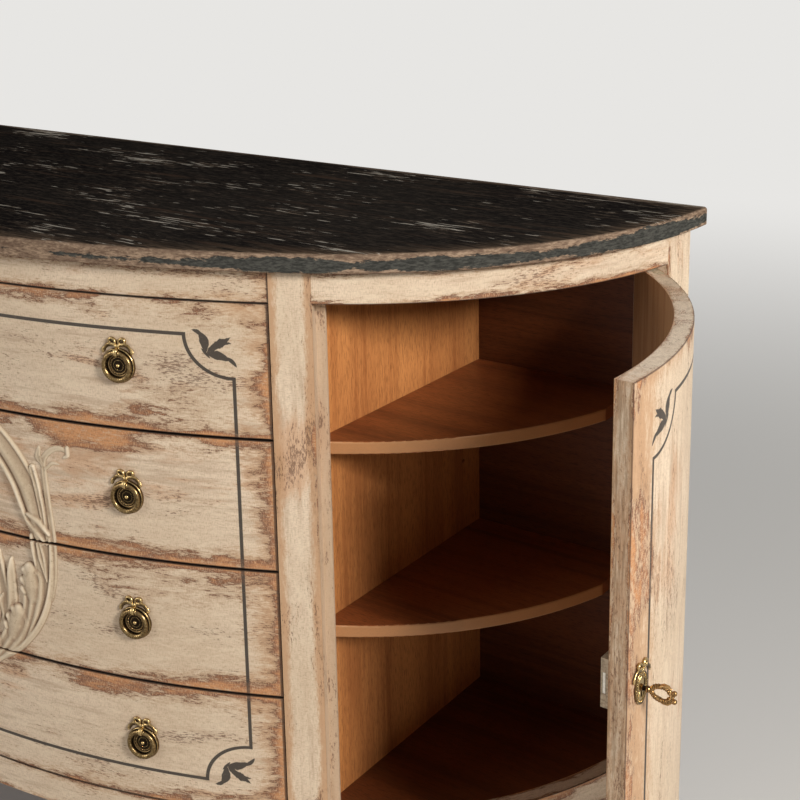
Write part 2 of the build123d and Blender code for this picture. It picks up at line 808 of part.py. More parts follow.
with BuildPart() as frame_leaves:
    for edge_z, outward in ((frieze_bottom, 1), (front_bottom, -1)):
        with BuildSketch(Plane.XY.offset(edge_z)):
            make_face(leaf_band(*frame_leaf_span))
            draw_screws(screw_radius + screw_clearance, Mode.SUBTRACT)
        extrude(amount=outward * leaf_thickness)
        with BuildSketch(Plane.XY.offset(edge_z)):
            with Locations(pivot):
                Circle(pivot_pin_radius)
        extrude(amount=-outward * pivot_pin_reach)
        with BuildSketch(Plane.XY.offset(edge_z)):
            draw_screws(screw_radius)
        extrude(amount=outward * screw_length)
    with BuildSketch(Plane.XY.offset(front_bottom)):
        with Locations(pivot):
            Circle(washer_radius)
    extrude(amount=door_gap - washer_clearance)
    add(mirrored(frame_leaves.part))
write_part(frame_leaves.part, "frame_hinge_leaves")

# Keyhole plate
with BuildPart() as escutcheon:
    with BuildSketch(lock_plane):
        Ellipse(escutcheon_half_width, escutcheon_half_height)
        draw_bow(escutcheon_bow_rise)
    extrude(amount=escutcheon_thickness)
    with BuildSketch(lock_plane):
        draw_keyhole(keyhole_radius, keyhole_slot_width, keyhole_slot_drop)
    extrude(amount=escutcheon_thickness, mode=Mode.SUBTRACT)
write_door_pair(escutcheon.part, "escutcheon")

# Lock case on the inner face of the door, with its bolt and the key that throws it
case_front = -door_thickness - lock_seat_gap
case_back = case_front - lock_depth
case_width = lock_near_side + lock_far_side
case_middle = (lock_far_side - lock_near_side) / 2
bolt_back = case_back + lock_wall + bolt_bar_clearance
with BuildPart() as lock_case:
    with BuildSketch(lock_plane.offset(case_front)):
        with Locations((case_middle, 0)):
            Rectangle(case_width, 2 * lock_half_height)
    extrude(amount=-lock_depth)
    with BuildSketch(lock_plane.offset(case_front - lock_wall)):
        with Locations((case_middle, 0)):
            Rectangle(case_width - 2 * lock_wall, 2 * (lock_half_height - lock_wall))
    extrude(amount=2 * lock_wall - lock_depth, mode=Mode.SUBTRACT)
    with BuildSketch(lock_plane.offset(case_back + lock_wall)):
        with Locations((-lock_near_side, 0)):
            Rectangle(2 * lock_wall, 2 * (bolt_bar_half_height + bolt_bar_clearance))
    extrude(amount=bolt_bar_thickness + 2 * bolt_bar_clearance, mode=Mode.SUBTRACT)
    with BuildSketch(lock_plane.offset(case_front)):
        draw_keyhole(door_keyhole_radius, door_keyhole_width, door_keyhole_drop)
    extrude(amount=-lock_wall, mode=Mode.SUBTRACT)
write_door_pair(lock_case.part, "lock_case")

with BuildPart() as lock_bolt:
    with BuildSketch(lock_plane.offset(bolt_back)):
        with Locations((-lock_near_side, 0)):
            Rectangle(bolt_bar_length, 2 * bolt_bar_half_height, align=(Align.MIN, Align.CENTER))
    extrude(amount=bolt_bar_thickness)
write_door_pair(lock_bolt.part, "lock_bolt")

with BuildPart() as key:
    with BuildSketch(side_plane(lock_plane, 0, 0, key_bow_out)):
        Ellipse(key_bow_half_length, key_bow_half_width)
        Ellipse(key_bow_hole_half_length, key_bow_hole_half_width, mode=Mode.SUBTRACT)
    extrude(amount=key_bow_wire / 2, both=True)
    fillet(key.edges(), key_bow_round)
    with BuildSketch(lock_plane.offset(-key_shaft_in)):
        Circle(key_shaft_radius)
    extrude(amount=key_shaft_in + key_shaft_out)
    with BuildSketch(lock_plane.offset(key_collar_at)):
        Circle(key_collar_radius)
    extrude(amount=key_collar_length)
    with BuildSketch(lock_plane.offset(-key_shaft_in)):
        with Locations((0, -key_bit_drop / 2)):
            Rectangle(key_bit_thickness, key_bit_drop)
    extrude(amount=key_bit_width)
    for side in (-1, 1):
        ball = lock_plane.from_local_coords((0, side * key_ball_side, key_bow_out + key_ball_out))
        with Locations(ball):
            Sphere(key_ball_radius)
write_door_pair(key.part, "key")
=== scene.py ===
# %% [markdown]
# A half-moon credenza, painted cream and rubbed through by long use. This lesson dresses the finished
# joinery: it gives every panel its paint or its wood, carves the wreath on the drawers, and casts the
# brass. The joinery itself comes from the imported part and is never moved.

# %% Load the joinery
import json
from math import asin, atan2, cos, degrees, hypot, pi, radians, sin

import bmesh
import bpy
import numpy as np
from mathutils import Matrix, Vector


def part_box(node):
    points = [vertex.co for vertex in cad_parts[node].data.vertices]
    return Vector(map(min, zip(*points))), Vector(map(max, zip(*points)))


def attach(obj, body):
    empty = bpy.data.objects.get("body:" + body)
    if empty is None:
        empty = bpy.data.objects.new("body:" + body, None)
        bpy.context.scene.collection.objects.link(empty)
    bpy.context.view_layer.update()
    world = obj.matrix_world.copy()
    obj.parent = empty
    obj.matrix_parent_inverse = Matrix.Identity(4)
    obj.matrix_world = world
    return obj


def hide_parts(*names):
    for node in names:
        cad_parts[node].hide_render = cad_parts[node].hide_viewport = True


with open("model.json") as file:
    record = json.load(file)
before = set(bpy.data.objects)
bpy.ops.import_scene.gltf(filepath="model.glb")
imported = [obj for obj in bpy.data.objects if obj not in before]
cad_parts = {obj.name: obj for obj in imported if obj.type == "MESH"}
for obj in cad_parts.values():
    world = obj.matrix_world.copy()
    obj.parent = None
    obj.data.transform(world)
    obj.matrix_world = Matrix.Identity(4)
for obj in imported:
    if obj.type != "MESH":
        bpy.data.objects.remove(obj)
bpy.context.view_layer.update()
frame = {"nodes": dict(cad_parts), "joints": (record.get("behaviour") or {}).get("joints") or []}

nodes = frame["nodes"]
joints = {joint["name"]: joint for joint in frame["joints"]}
side_names = ("left", "right")
drawer_numbers = range(1, 5)
print("loaded", len(nodes), "pieces of joinery")

# %% [markdown]
# The front is a wide arc over the drawers that runs into a tighter arc over each door. Every pattern on
# it, from brush marks to the painted border, follows that curve, so the first values are the curve's own.
# They are read off the top slab where it can give them, and the rest are the two real radii of the plan.

# %% Measure the front
slab_low, slab_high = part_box("top_slab")
slab_overhang = 0.016
end_radius = 0.493
end_centre = 0.332
middle_x = (slab_low.x + slab_high.x) / 2
wall_y = slab_high.y
front_depth = slab_high.y - slab_low.y - slab_overhang
front_rise = front_depth - end_radius
bow_centre = (end_centre**2 - front_rise**2) / (2 * front_rise)
bow_radius = bow_centre + front_depth
turn = asin(end_centre / (bow_radius - end_radius))
turn_along = bow_radius * turn
frieze_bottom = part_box("centre_frieze_rail")[0].z
front_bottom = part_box("centre_base_rail")[1].z
drawer_pitch = (frieze_bottom - front_bottom) / len(drawer_numbers)
leg_along = bow_radius * asin((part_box("right_front_leg")[0].x - middle_x) / bow_radius)


def front_place(along, z, out=0.0):
    """Point on the front: along is measured round the curve from the middle, out stands off it."""
    side = -1 if along < 0 else 1
    reach = abs(along)
    if reach <= turn_along:
        angle, radius, x0, y0 = reach / bow_radius, bow_radius + out, 0.0, bow_centre
    else:
        angle = turn + (reach - turn_along) / end_radius
        radius, x0, y0 = end_radius + out, end_centre, 0.0
    return Vector((middle_x + side * (x0 + radius * sin(angle)), wall_y + y0 - radius * cos(angle), z))


print(f"bow radius {bow_radius:.3f}, end radius {end_radius:.3f}, turned {degrees(turn):.1f} degrees")

# %% [markdown]
# The camera stands a little to the right and above, looking left along the front into the open cupboard.
# Its place was worked out from the photograph's perspective. A camera's turn is easiest to say as three
# directions: where its right side, its top and its back point, which are the columns of its matrix.

# %% Place the camera
focal_length = 63.97
sensor_width = 36
camera_yaw = radians(34.56)
camera_pitch = radians(13.47)
camera_roll = radians(0.74)
camera_place = Vector((1.4433, -1.3318, 1.2912))
camera_shift = (-0.031, -0.2)


def add_object(name, data):
    """Puts a mesh, a lamp or a camera into the scene."""
    made = bpy.data.objects.new(name, data)
    bpy.context.scene.collection.objects.link(made)
    return made


level_share = cos(camera_pitch)
ahead = Vector((-sin(camera_yaw) * level_share, cos(camera_yaw) * level_share, -sin(camera_pitch)))
level_right = Vector((cos(camera_yaw), sin(camera_yaw), 0))
level_up = level_right.cross(ahead)
right = level_right * cos(camera_roll) - level_up * sin(camera_roll)
top = level_right * sin(camera_roll) + level_up * cos(camera_roll)
camera = add_object("camera", bpy.data.cameras.new("camera"))
camera.matrix_world = Matrix.Translation(camera_place) @ Matrix((right, top, -ahead)).transposed().to_4x4()
camera.data.lens = focal_length
camera.data.sensor_width = sensor_width
camera.data.shift_x, camera.data.shift_y = camera_shift
bpy.context.scene.camera = camera
bpy.context.scene.view_settings.view_transform = "Standard"
print(f"camera stands {camera_place.length:.2f} m from the foot of the piece")

# %% [markdown]
# A finish is a recipe of shader nodes, and most of a recipe is arithmetic: this noise plus that one, less
# the distance to an edge. A node for each sum is tedious to write and worse to read. So a value that the
# shader works out gets a class of its own, in which a plus or a minus adds the Math node.


# %% Values that add up
class Value:
    """The output of a shader node. Arithmetic with it adds Math nodes and gives another value."""

    def __init__(self, recipe, socket):
        self.recipe, self.socket = recipe, socket

    def __add__(self, other):
        return self.recipe.math("ADD", self, other)

    def __sub__(self, other):
        return self.recipe.math("SUBTRACT", self, other)

    def __rsub__(self, other):
        return self.recipe.math("SUBTRACT", other, self)

    def __mul__(self, other):
        return self.recipe.math("MULTIPLY", self, other)

    def __truediv__(self, other):
        return self.recipe.math("DIVIDE", self, other)

    def __lt__(self, other):
        return self.recipe.math("LESS_THAN", self, other)

    def __gt__(self, other):
        return self.recipe.math("GREATER_THAN", self, other)

    def __abs__(self):
        return self.recipe.math("ABSOLUTE", self)

    def clamped(self):
        """The same value, held between 0 and 1."""
        self.socket.node.use_clamp = True
        return self


# %% [markdown]
# The other steps of a recipe are few: fade one colour into another, ask where a value passes from low to
# high, stretch the coordinates so that noise runs in streaks, and lay coats of colour one over the other.
# Each helper adds one node, plugs in numbers or values alike, and hands back its result.


# %% Helpers for recipes
class Recipe:
    """A tree of shader nodes that is written like a sum."""

    def __init__(self, tree):
        self.tree = tree

    def node(self, kind, inputs=(), **settings):
        made = self.tree.nodes.new("ShaderNode" + kind)
        for name, value in settings.items():
            setattr(made, name, value)
        for socket, value in dict(inputs).items():
            self.plug(made.inputs[socket], value)
        return made

    def plug(self, socket, value):
        value = value.socket if isinstance(value, Value) else value
        if isinstance(value, bpy.types.NodeSocket):
            self.tree.links.new(value, socket)
        else:
            socket.default_value = value

    def value(self, kind, inputs=(), output=0, **settings):
        return Value(self, self.node(kind, inputs, **settings).outputs[output])

    def parts(self, vector):
        """X, Y and Z of a vector."""
        return [Value(self, socket) for socket in self.node("SeparateXYZ", {0: vector}).outputs]

    def math(self, operation, first, second=0.0):
        return self.value("Math", {0: first, 1: second}, operation=operation)

    def most(self, found, *others):
        for value in others:
            found = self.math("MAXIMUM", found, value)
        return found

    def between(self, factor, first, second):
        return self.value("Mix", {0: factor, 2: first, 3: second}, data_type="FLOAT")

    def blend(self, factor, first, second):
        return self.value("Mix", {0: factor, 6: first, 7: second}, output=2, data_type="RGBA")

    def step(self, value, low, high):
        return self.value("MapRange", {0: value, 1: low, 2: high}, interpolation_type="SMOOTHSTEP")

    def coats(self, base, *coats):
        """Lays colours over a base. Each coat comes in where a value goes from low to high, by a share."""
        for value, low, high, share, tone in coats:
            base = self.blend(self.step(value, low, high) * share, base, tone)
        return base

    def stretch(self, vector, shares):
        return self.value("VectorMath", {0: vector, 1: shares}, operation="MULTIPLY")

    def cloud(self, vector, scale, detail=4.0, rough=0.6, bend=0.0):
        inputs = {"Vector": vector, "Scale": scale, "Detail": detail, "Roughness": rough, "Distortion": bend}
        return self.value("TexNoise", inputs)


# %% [markdown]
# Every finish ends in the same shader, which asks for a colour, a roughness and how metallic it is. A
# little relief makes paint and metal catch the light, so the last helper takes all of these at once.


# %% Start, dress and wear a finish
def colour(red, green, blue):
    """A colour as it is read off a screen, from 0 to 255, made linear."""
    return tuple(((part / 255 + 0.055) / 1.055) ** 2.4 for part in (red, green, blue)) + (1.0,)


def new_finish(name):
    finish = bpy.data.materials.new(name)
    finish.use_nodes = True
    return finish, Recipe(finish.node_tree)


def dress(r, tone, rough, relief, strength, depth, specular=0.5, metallic=0.0):
    """Ends a recipe: its colour, its roughness, and a relief whose depth is in metres."""
    shader = r.tree.nodes["Principled BSDF"]
    r.plug(shader.inputs["Base Color"], tone)
    r.plug(shader.inputs["Roughness"], rough)
    shader.inputs["Specular IOR Level"].default_value = specular
    shader.inputs["Metallic"].default_value = metallic
    bump = r.value("Bump", {"Strength": strength, "Distance": depth, "Height": relief})
    r.plug(shader.inputs["Normal"], bump)


def wear_finish(finish, *names):
    """Puts a finish on pieces of joinery by name."""
    for name in names:
        nodes[name].data.materials.clear()
        nodes[name].data.materials.append(finish)


# %% [markdown]
# Paint brushed on a curved front follows the curve. This group turns a place on the case into how far
# round the front it is, how deep behind the face, and how high. With those three, an edge or a painted
# line anywhere on the front is only a comparison of numbers.

# %% A group that unrolls the front
unroll = bpy.data.node_groups.new("unrolled front", "ShaderNodeTree")
unroll.interface.new_socket("Place", in_out="INPUT", socket_type="NodeSocketVector")
for name, kind in (("Unrolled", "Vector"), ("Along", "Float"), ("Inset", "Float")):
    unroll.interface.new_socket(name, in_out="OUTPUT", socket_type="NodeSocket" + kind)
r = Recipe(unroll)
x, y, z = r.parts(unroll.nodes.new("NodeGroupInput").outputs[0])
across = x - middle_x
reach = abs(across)
back = wall_y - y


def polar(centre_x, centre_y):
    """Angle from straight ahead and distance, seen from a centre of curvature."""
    dx = reach - centre_x
    dy = back + centre_y
    return r.math("ARCTAN2", dx, dy), r.math("SQRT", dx * dx + dy * dy)


bow_angle, bow_far = polar(0.0, bow_centre)
end_angle, end_far = polar(end_centre, 0.0)
on_end = bow_angle > turn
along = r.between(on_end, bow_angle * bow_radius, (end_angle - turn) * end_radius + turn_along)
inset = r.between(on_end, bow_radius - bow_far, end_radius - end_far)
unrolled = r.value("CombineXYZ", {0: along * r.math("SIGN", across), 1: inset, 2: z})
group_out = unroll.nodes.new("NodeGroupOutput")
for socket, value in zip(group_out.inputs, (unrolled, along, inset)):
    r.plug(socket, value)


def front_coordinates(r, opened=False):
    """The unrolled front for a recipe. The open door is first turned back to where it was when shut."""
    spot = r.value("TexCoord", output="Object")
    if opened:
        swing = joints["right_door_swing"]
        turned_back = {"Vector": spot, "Center": swing["pos_m"], "Angle": radians(swing["range_deg"][0])}
        spot = r.value("VectorRotate", turned_back, rotation_type="Z_AXIS")
    group = r.node("Group", {0: spot}, node_tree=unroll)
    unrolled, along, inset = (Value(r, socket) for socket in group.outputs)
    return unrolled, along, inset, r.parts(spot)[2]


print("unrolled the front with", len(unroll.nodes), "nodes")

# %% [markdown]
# The painted border is a thin grey line that runs round each panel, with its corners scooped inwards and
# a sprig of three leaves in each scoop. It could be a picture laid on the panel, but a picture blurs when
# the camera comes near. So it is drawn in the unrolled coordinates, stroke by stroke. Each leaf is given
# by its two ends, a width and a bend, in metres from the corner of the border.

# %% Strokes of the painted border
line_width = 0.0043
scoop = (0.059, 0.051)
sprig_base = (-0.0335, -0.0215)
sprig_leaves = (
    (sprig_base, (-0.0405, 0.0050), 0.0062, -0.0030),
    ((-0.0350, -0.0040), (-0.0500, 0.0060), 0.0030, -0.0026),
    (sprig_base, (-0.0010, -0.0005), 0.0051, 0.0000),
    ((-0.0240, -0.0150), (-0.0125, -0.0025), 0.0026, 0.0004),
    ((-0.0150, -0.0120), (-0.0010, -0.0075), 0.0020, 0.0006),
    (sprig_base, (-0.0030, -0.0290), 0.0056, 0.0014),
    ((-0.0110, -0.0250), (0.0042, -0.0375), 0.0030, 0.0022),
    ((-0.0390, -0.0150), (-0.0270, -0.0285), 0.0022, 0.0000),
)
soft_edge = 0.0012


def near_line(r, value, where, width):
    """1 on a line, 0 off it, with a soft edge."""
    return 1.0 - r.step(abs(value - where), width * 0.35, width * 0.6)


def leaf(r, dx, dz, start, end, width, bend):
    """A pointed leaf from start to end, bent to one side."""
    run, rise = end[0] - start[0], end[1] - start[1]
    size = hypot(run, rise)
    far_x, far_z = dx - start[0], dz - start[1]
    share = (far_x * (run / size**2) + far_z * (rise / size**2)).clamped()
    beside = far_z * (run / size) - far_x * (rise / size)
    fullness = share * (1.0 - share) * 4.0
    return r.step(fullness * width - abs(beside - fullness * bend), 0.0, soft_edge)


print("a sprig has", len(sprig_leaves), "strokes")

# %% [markdown]
# Distances are taken from the middle of the panel without their sign, so one corner's drawing serves all
# four. The painter's hand is not quite steady, and a little noise moves the leaves about by a hair.


# %% The whole border
def border(r, along, height, half_width, middle_along, half_height, middle_height):
    """The line round a panel, with its scooped corners and their sprigs."""
    from_side = abs(along - middle_along) - half_width
    from_top = abs(height - middle_height) - half_height
    upright = near_line(r, from_side, 0.0, line_width) * (from_top < -scoop[1])
    level = near_line(r, from_top, 0.0, line_width) * (from_side < -scoop[0])
    share_x, share_z = from_side / scoop[0], from_top / scoop[1]
    far = r.math("SQRT", share_x * share_x + share_z * share_z)
    inside = (from_side < line_width / 2) * (from_top < line_width / 2)
    scooped = near_line(r, far, 1.0, line_width * 2 / sum(scoop)) * inside
    unsteady = r.cloud(r.value("CombineXYZ", {0: from_side, 1: from_top}), 150.0, 1.0, 0.5) - 0.5
    brush_x = from_side + unsteady * 0.004
    brush_z = from_top - unsteady * 0.004
    leaves = [leaf(r, brush_x, brush_z, *shape) for shape in sprig_leaves]
    return r.most(upright, level, scooped, *leaves)


# %% [markdown]
# The cream paint is the finish that people notice. On the real piece it was brushed on over a brown
# ground, then rubbed away where hands, cloths and drawers wear it: along every edge, in streaks that
# follow the brush. It takes a few cells. The first holds what every later one needs at a point of the
# front: where the point is, and five sizes of noise, drawn out the way the brush went.

# %% Brush marks
cream_light = colour(224, 203, 178)
cream_mid = colour(208, 185, 158)
cream_grey = colour(192, 170, 146)
ground_dark = colour(104, 74, 58)
ground_brown = colour(146, 100, 73)
bare_orange = colour(196, 140, 95)
line_grey = colour(58, 52, 47)
face_skin = 0.0012
panel_thickness = 0.022
door_inside = panel_thickness - 0.0005


class BrushedFace:
    """What a paint recipe knows at a point of the front: its place, and brush marks from broad to fine."""

    def __init__(self, r, upright, opened):
        self.spot, self.along, self.inset, self.height = front_coordinates(r, opened)
        self.on_face = self.inset < face_skin
        brushed = r.stretch(self.spot, (1.0, 1.0, 0.24) if upright else (0.22, 1.0, 1.0))
        cross = r.stretch(self.spot, (0.22, 1.0, 1.0) if upright else (1.0, 1.0, 0.22))
        self.broad = r.cloud(self.spot, 4.0, 3.0, 0.5)
        self.patches = r.cloud(brushed, 24.0, 5.0, 0.66, 0.5)
        self.ragged = r.cloud(brushed, 130.0, 5.0, 0.72, 0.6)
        self.fine = r.cloud(brushed, 560.0, 3.0, 0.7)
        self.weave = r.cloud(cross, 900.0, 2.0, 0.6)
        long_way = r.stretch(self.spot, (1.0, 1.0, 0.09) if upright else (0.09, 1.0, 1.0))
        self.smudge = r.cloud(long_way, 95.0, 5.0, 0.68) + self.broad * 0.6


# %% [markdown]
# Wear is one number: nearness to an edge, plus each size of noise by its share. Where the sum is above 0
# the paint is gone. Adding noise before the comparison, and not after it, is what makes the outline of a
# worn place ragged at every scale. Places where a hand has rubbed are soft ovals that add to the same sum.

# %% Where the paint is worn
edge_reach = 0.0065
lip_reach = (0.010, 0.009)
strip_reach = 0.0060


def edge_nearness(r, value, lines, width):
    """1 at the nearest of some lines, falling to 0 at a distance of width."""
    terms = [(1.0 - abs(value - where) / width).clamped() for where in lines]
    return r.most(*terms) if terms else 0.0


def near_edges(r, at, sides, levels, side_reach, level_reach):
    """Nearness to the upright edges or the level edges of a panel, whichever is nearer."""
    near_side = edge_nearness(r, at.along, sides, side_reach)
    return r.most(near_side, edge_nearness(r, at.height, levels, level_reach))


def wear_value(r, at, edge, wear, lip, inside, rebate, rubs):
    """How far the paint is worn: above 0 it is gone."""
    uneven = r.step(r.cloud(at.spot, 9.0, 2.0, 0.5), 0.30, 0.66)
    value = edge * r.between(uneven, 0.18, 0.47)
    if inside:
        strip = edge_nearness(r, at.inset, (0.0, inside), strip_reach)
        value = value + strip * (1.0 - at.on_face) * 0.16
    if lip:
        value = value + lip * 0.13
    marks = ((at.broad, 0.75), (at.patches, 0.95), (at.ragged, 0.62), (at.fine, 0.42), (at.weave, 0.16))
    for cloud, amount in marks:
        value = value + (cloud - 0.5) * amount
    value = value + (wear - 0.27)
    for rub_along, rub_height, half_along, half_up, amount in rubs:
        share_x = (at.along - rub_along) / half_along
        share_z = (at.height - rub_height) / half_up
        value = value + r.step(share_x * share_x + share_z * share_z, 1.0, 0.0) * amount
    if rebate:
        value = value - r.between(at.on_face, 0.15, 0.0)
    return value


# %% [markdown]
# Old cream paint is never one colour. Thin places let the ground warm it, dirt settles across the brush
# marks, and thick strokes stay pale. Each of these is a coat: a noise, the range where it comes in, its
# share and its colour. A second helper adds the stains that gather along edges and by the door's latch.


# %% Coats of cream
def cream_coats(r, at):
    """The sound paint, from its broadest shade to its finest."""
    return r.coats(
        cream_mid,
        (at.broad, 0.35, 0.65, 1.0, cream_light),
        (at.patches, 0.42, 0.72, 0.55, cream_grey),
        (at.weave, 0.45, 0.68, 0.50, colour(172, 148, 122)),
        (at.fine, 0.48, 0.70, 0.48, colour(162, 136, 110)),
        (at.ragged, 0.56, 0.36, 0.35, colour(228, 211, 184)),
        (at.smudge, 0.80, 0.98, 0.50, colour(166, 138, 112)),
        (at.patches + at.broad * 0.9, 1.00, 1.16, 0.62, colour(198, 154, 118)),
    )


def stain_value(r, at, edge, edge_stain, end_stain, start_stain):
    """How stained the paint is: more along the edges, beyond end_stain and before start_stain."""
    stain = edge * edge_stain + (at.patches - 0.5) * 1.5
    if end_stain:
        stain = stain + r.step(abs(at.along), end_stain - 0.03, end_stain) * 0.26
    if start_stain:
        ragged_along = at.along + (at.patches + at.broad - 1.0) * 0.09
        stain = stain + (1.0 - r.step(ragged_along, start_stain, start_stain + 0.035)) * 0.4
    return stain + (at.fine - 0.5) * 1.0 + (at.ragged - 0.5) * 0.7


# %% [markdown]
# Under the cream lies a dark ground, then a red-brown one, then bare orange wood: the more worn a place
# is, the further down one sees. So the same wear number that opens the paint also picks the layer.


# %% The ground beneath
def bare_ground(r, at, value, inside):
    """What shows where the cream is gone. Off the face of a door more of the cream clings to it."""
    clinging = (0.47, 0.6, 0.8) if inside else (0.58, 0.66, 0.6)
    return r.coats(
        ground_dark,
        (value, 0.02, 0.12, 1.0, ground_brown),
        (value, 0.09, 0.25, 1.0, bare_orange),
        (at.fine, 0.42, 0.70, 0.55, colour(96, 64, 46)),
        (at.ragged, 0.50, 0.30, 0.50, colour(190, 146, 108)),
        (at.weave, 0.50, 0.64, 0.45, colour(206, 176, 142)),
        (at.fine + (0.5 - at.ragged), *clinging, colour(206, 178, 148)),
    )


def inner_brown(r, spot):
    """The plain brown wash on the inner face of a door."""
    streaks = r.cloud(r.stretch(spot, (1.0, 1.0, 0.05)), 90.0, 4.0, 0.6)
    return r.coats(colour(136, 98, 66), (streaks, 0.3, 0.7, 1.0, colour(164, 126, 90)))


# %% [markdown]
# Now the recipe is put together. The wear opens the cream onto its ground, the border is drawn over what
# paint is left, and dark lines of painted shade and dirt mark the gaps. Everything off the face is told
# apart by its depth behind the face: the thickness of a door, the raw sides of a drawer, painted nearly
# black as shade, or the plain paint in a leg's rebate, greyed a little as painted shade.


# %% Cream paint
def cream_paint(name, sides=(), levels=(), upright=False, wear=0.0, opened=False, panel=None,
                side_reach=0.04, level_reach=0.034, inside=None, end_stain=None, start_stain=None,
                gap_levels=(), shade_bare_sides=False, edge_stain=0.55, rebate=False, rubs=()):
    """
    Paint for a panel whose edges lie along sides and levels. A panel may have a border, gaps drawn dark
    with painted shade and dirt, an inner face from a depth called inside, raw wood behind its face painted
    nearly black as shade, or a rebate for a door whose paint is greyed a little as painted shade.
    """
    finish, r = new_finish(name)
    at = BrushedFace(r, upright, opened)
    arris = edge_nearness(r, at.inset, (0.0,) if rebate else (0.0, panel_thickness), edge_reach)
    edge = r.between(at.on_face, arris * 0.8, near_edges(r, at, sides, levels, side_reach, level_reach))
    lip = near_edges(r, at, sides, gap_levels, *lip_reach) if gap_levels else None
    value = wear_value(r, at, edge, wear, lip, inside, rebate, rubs)
    rubbed = r.step(value, 0.0, 0.05)

    stain = stain_value(r, at, edge, edge_stain, end_stain, start_stain)
    cream = r.coats(cream_coats(r, at), (stain, 0.2, 0.8, 0.8, colour(184, 142, 104)))
    if inside:
        grain = r.cloud(r.stretch(at.spot, (1.0, 1.0, 0.05)), 300.0, 4.0, 0.7)
        below_top = at.height < levels[1] - 0.0004
        streaks = r.step(grain, 0.44, 0.62) * (r.between(at.on_face, 0.75, 0.12) * below_top)
        cream = r.blend(streaks, cream, colour(146, 114, 84))
    # Painted shade: the paint in a rebate is greyed darker than the face.
    if rebate:
        cream = r.blend(r.between(at.on_face, 0.65, 0.0), cream, colour(186, 158, 130))
    nearly_bare = (value, -0.16, 0.0, 0.4, colour(168, 134, 102))
    flecks = (at.fine + at.patches * 1.3, 1.29, 1.37, 0.7, ground_dark)
    cream = r.coats(cream, nearly_bare, flecks)
    painted = r.blend(rubbed, cream, bare_ground(r, at, value, inside))

    if panel:
        drawn = (border(r, at.along, at.height, *panel) * r.between(at.ragged, 2.3, 0.5)).clamped()
        drawn = (drawn * r.between(at.fine, 1.45, 0.65)).clamped() * r.between(rubbed, 0.96, 0.72)
        painted = r.blend(drawn * at.on_face, painted, line_grey)
    if inside:
        lined = near_edges(r, at, sides[:1], levels, 0.0022, 0.0020)
        painted = r.coats(painted, (lined, 0.1, 0.8, at.on_face * 0.75, colour(78, 56, 42)))
    # Painted shade, with some dirt: dark lines on the face along the gaps between parts.
    if gap_levels:
        gap = near_edges(r, at, sides, gap_levels, 0.0036, 0.0015)
        painted = r.coats(painted, (gap, 0.1, 0.75, at.on_face * 0.85, colour(44, 30, 22)))
    # Painted shade: a drawer's raw sides behind its face are painted nearly black, as the inside of a gap
    # lies in shade.
    if shade_bare_sides:
        painted = r.coats(painted, (at.inset, 0.0005, 0.0016, 1.0, colour(28, 19, 14)))
    if inside:
        painted = r.blend(at.inset > inside, painted, inner_brown(r, at.spot))
    relief = at.fine * 0.35 - rubbed * 0.55 + (at.ragged * 0.3 + at.weave * 0.3)
    dress(r, painted, r.between(rubbed, 0.55, 0.64), relief, 0.45, 0.0007, specular=0.3)
    return finish


# %% [markdown]
# The four drawers share one border, so each gets the same panel and the same sides, and only its own
# levels. The real ones are rubbed in places that no rule would give, where hands push them shut. Those
# are named here one by one: how far along, how far below the drawer's top, half its length, half its
# height, and how much of the paint it takes.

# %% Paint the drawers
drawer_half = bow_radius * asin((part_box("drawer_1_front")[1].x - middle_x) / bow_radius)
border_half_width = 0.4868
border_margin = 0.0415
border_half_height = (frieze_bottom - front_bottom) / 2 - border_margin
border_middle = (frieze_bottom + front_bottom) / 2
case_panel = (border_half_width, 0.0, border_half_height, border_middle)
drawer_rubs = {
    1: ((0.42, 0.126, 0.100, 0.036, 0.25), (0.47, 0.028, 0.07, 0.028, 0.23),
        (0.16, 0.010, 0.18, 0.020, 0.15), (0.09, 0.090, 0.04, 0.060, 0.13)),
    2: ((0.30, 0.018, 0.10, 0.028, 0.13), (0.40, 0.150, 0.13, 0.022, 0.10)),
    3: ((0.39, 0.036, 0.14, 0.042, 0.25), (0.40, 0.150, 0.13, 0.022, 0.12)),
    4: ((0.34, 0.022, 0.16, 0.030, 0.16),),
}
for number in drawer_numbers:
    low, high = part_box(f"drawer_{number}_front")
    rubs = [(rub_along, high.z - below, *rest) for rub_along, below, *rest in drawer_rubs[number]]
    finish = cream_paint(f"drawer {number} paint", (drawer_half,), (low.z, high.z), panel=case_panel,
                         end_stain=0.49, gap_levels=(low.z, high.z), shade_bare_sides=True, rubs=rubs)
    wear_finish(finish, f"drawer_{number}_front")
print("rubbed the drawers in", sum(map(len, drawer_rubs.values())), "places")

# %% [markdown]
# The rails are brushed along and the legs are brushed upright. The legs are the best kept paint on the
# piece, so they wear less, and they have no worn arris in the rebate where a door closes against them.

# %% Paint the rails and the legs
rail_boxes = [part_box(f"centre_{rail}_rail") for rail in ("frieze", "base")]
rail_levels = [corner.z for box in rail_boxes for corner in box]
# Where they meet the drawers, the rails also take the dark lines of painted shade and dirt.
rail_paint = cream_paint("rail paint", (leg_along,), rail_levels, wear=-0.04, level_reach=0.02,
                         gap_levels=(frieze_bottom, front_bottom))
for part in ("left", "centre", "right"):
    wear_finish(rail_paint, f"{part}_frieze_rail", f"{part}_base_rail")
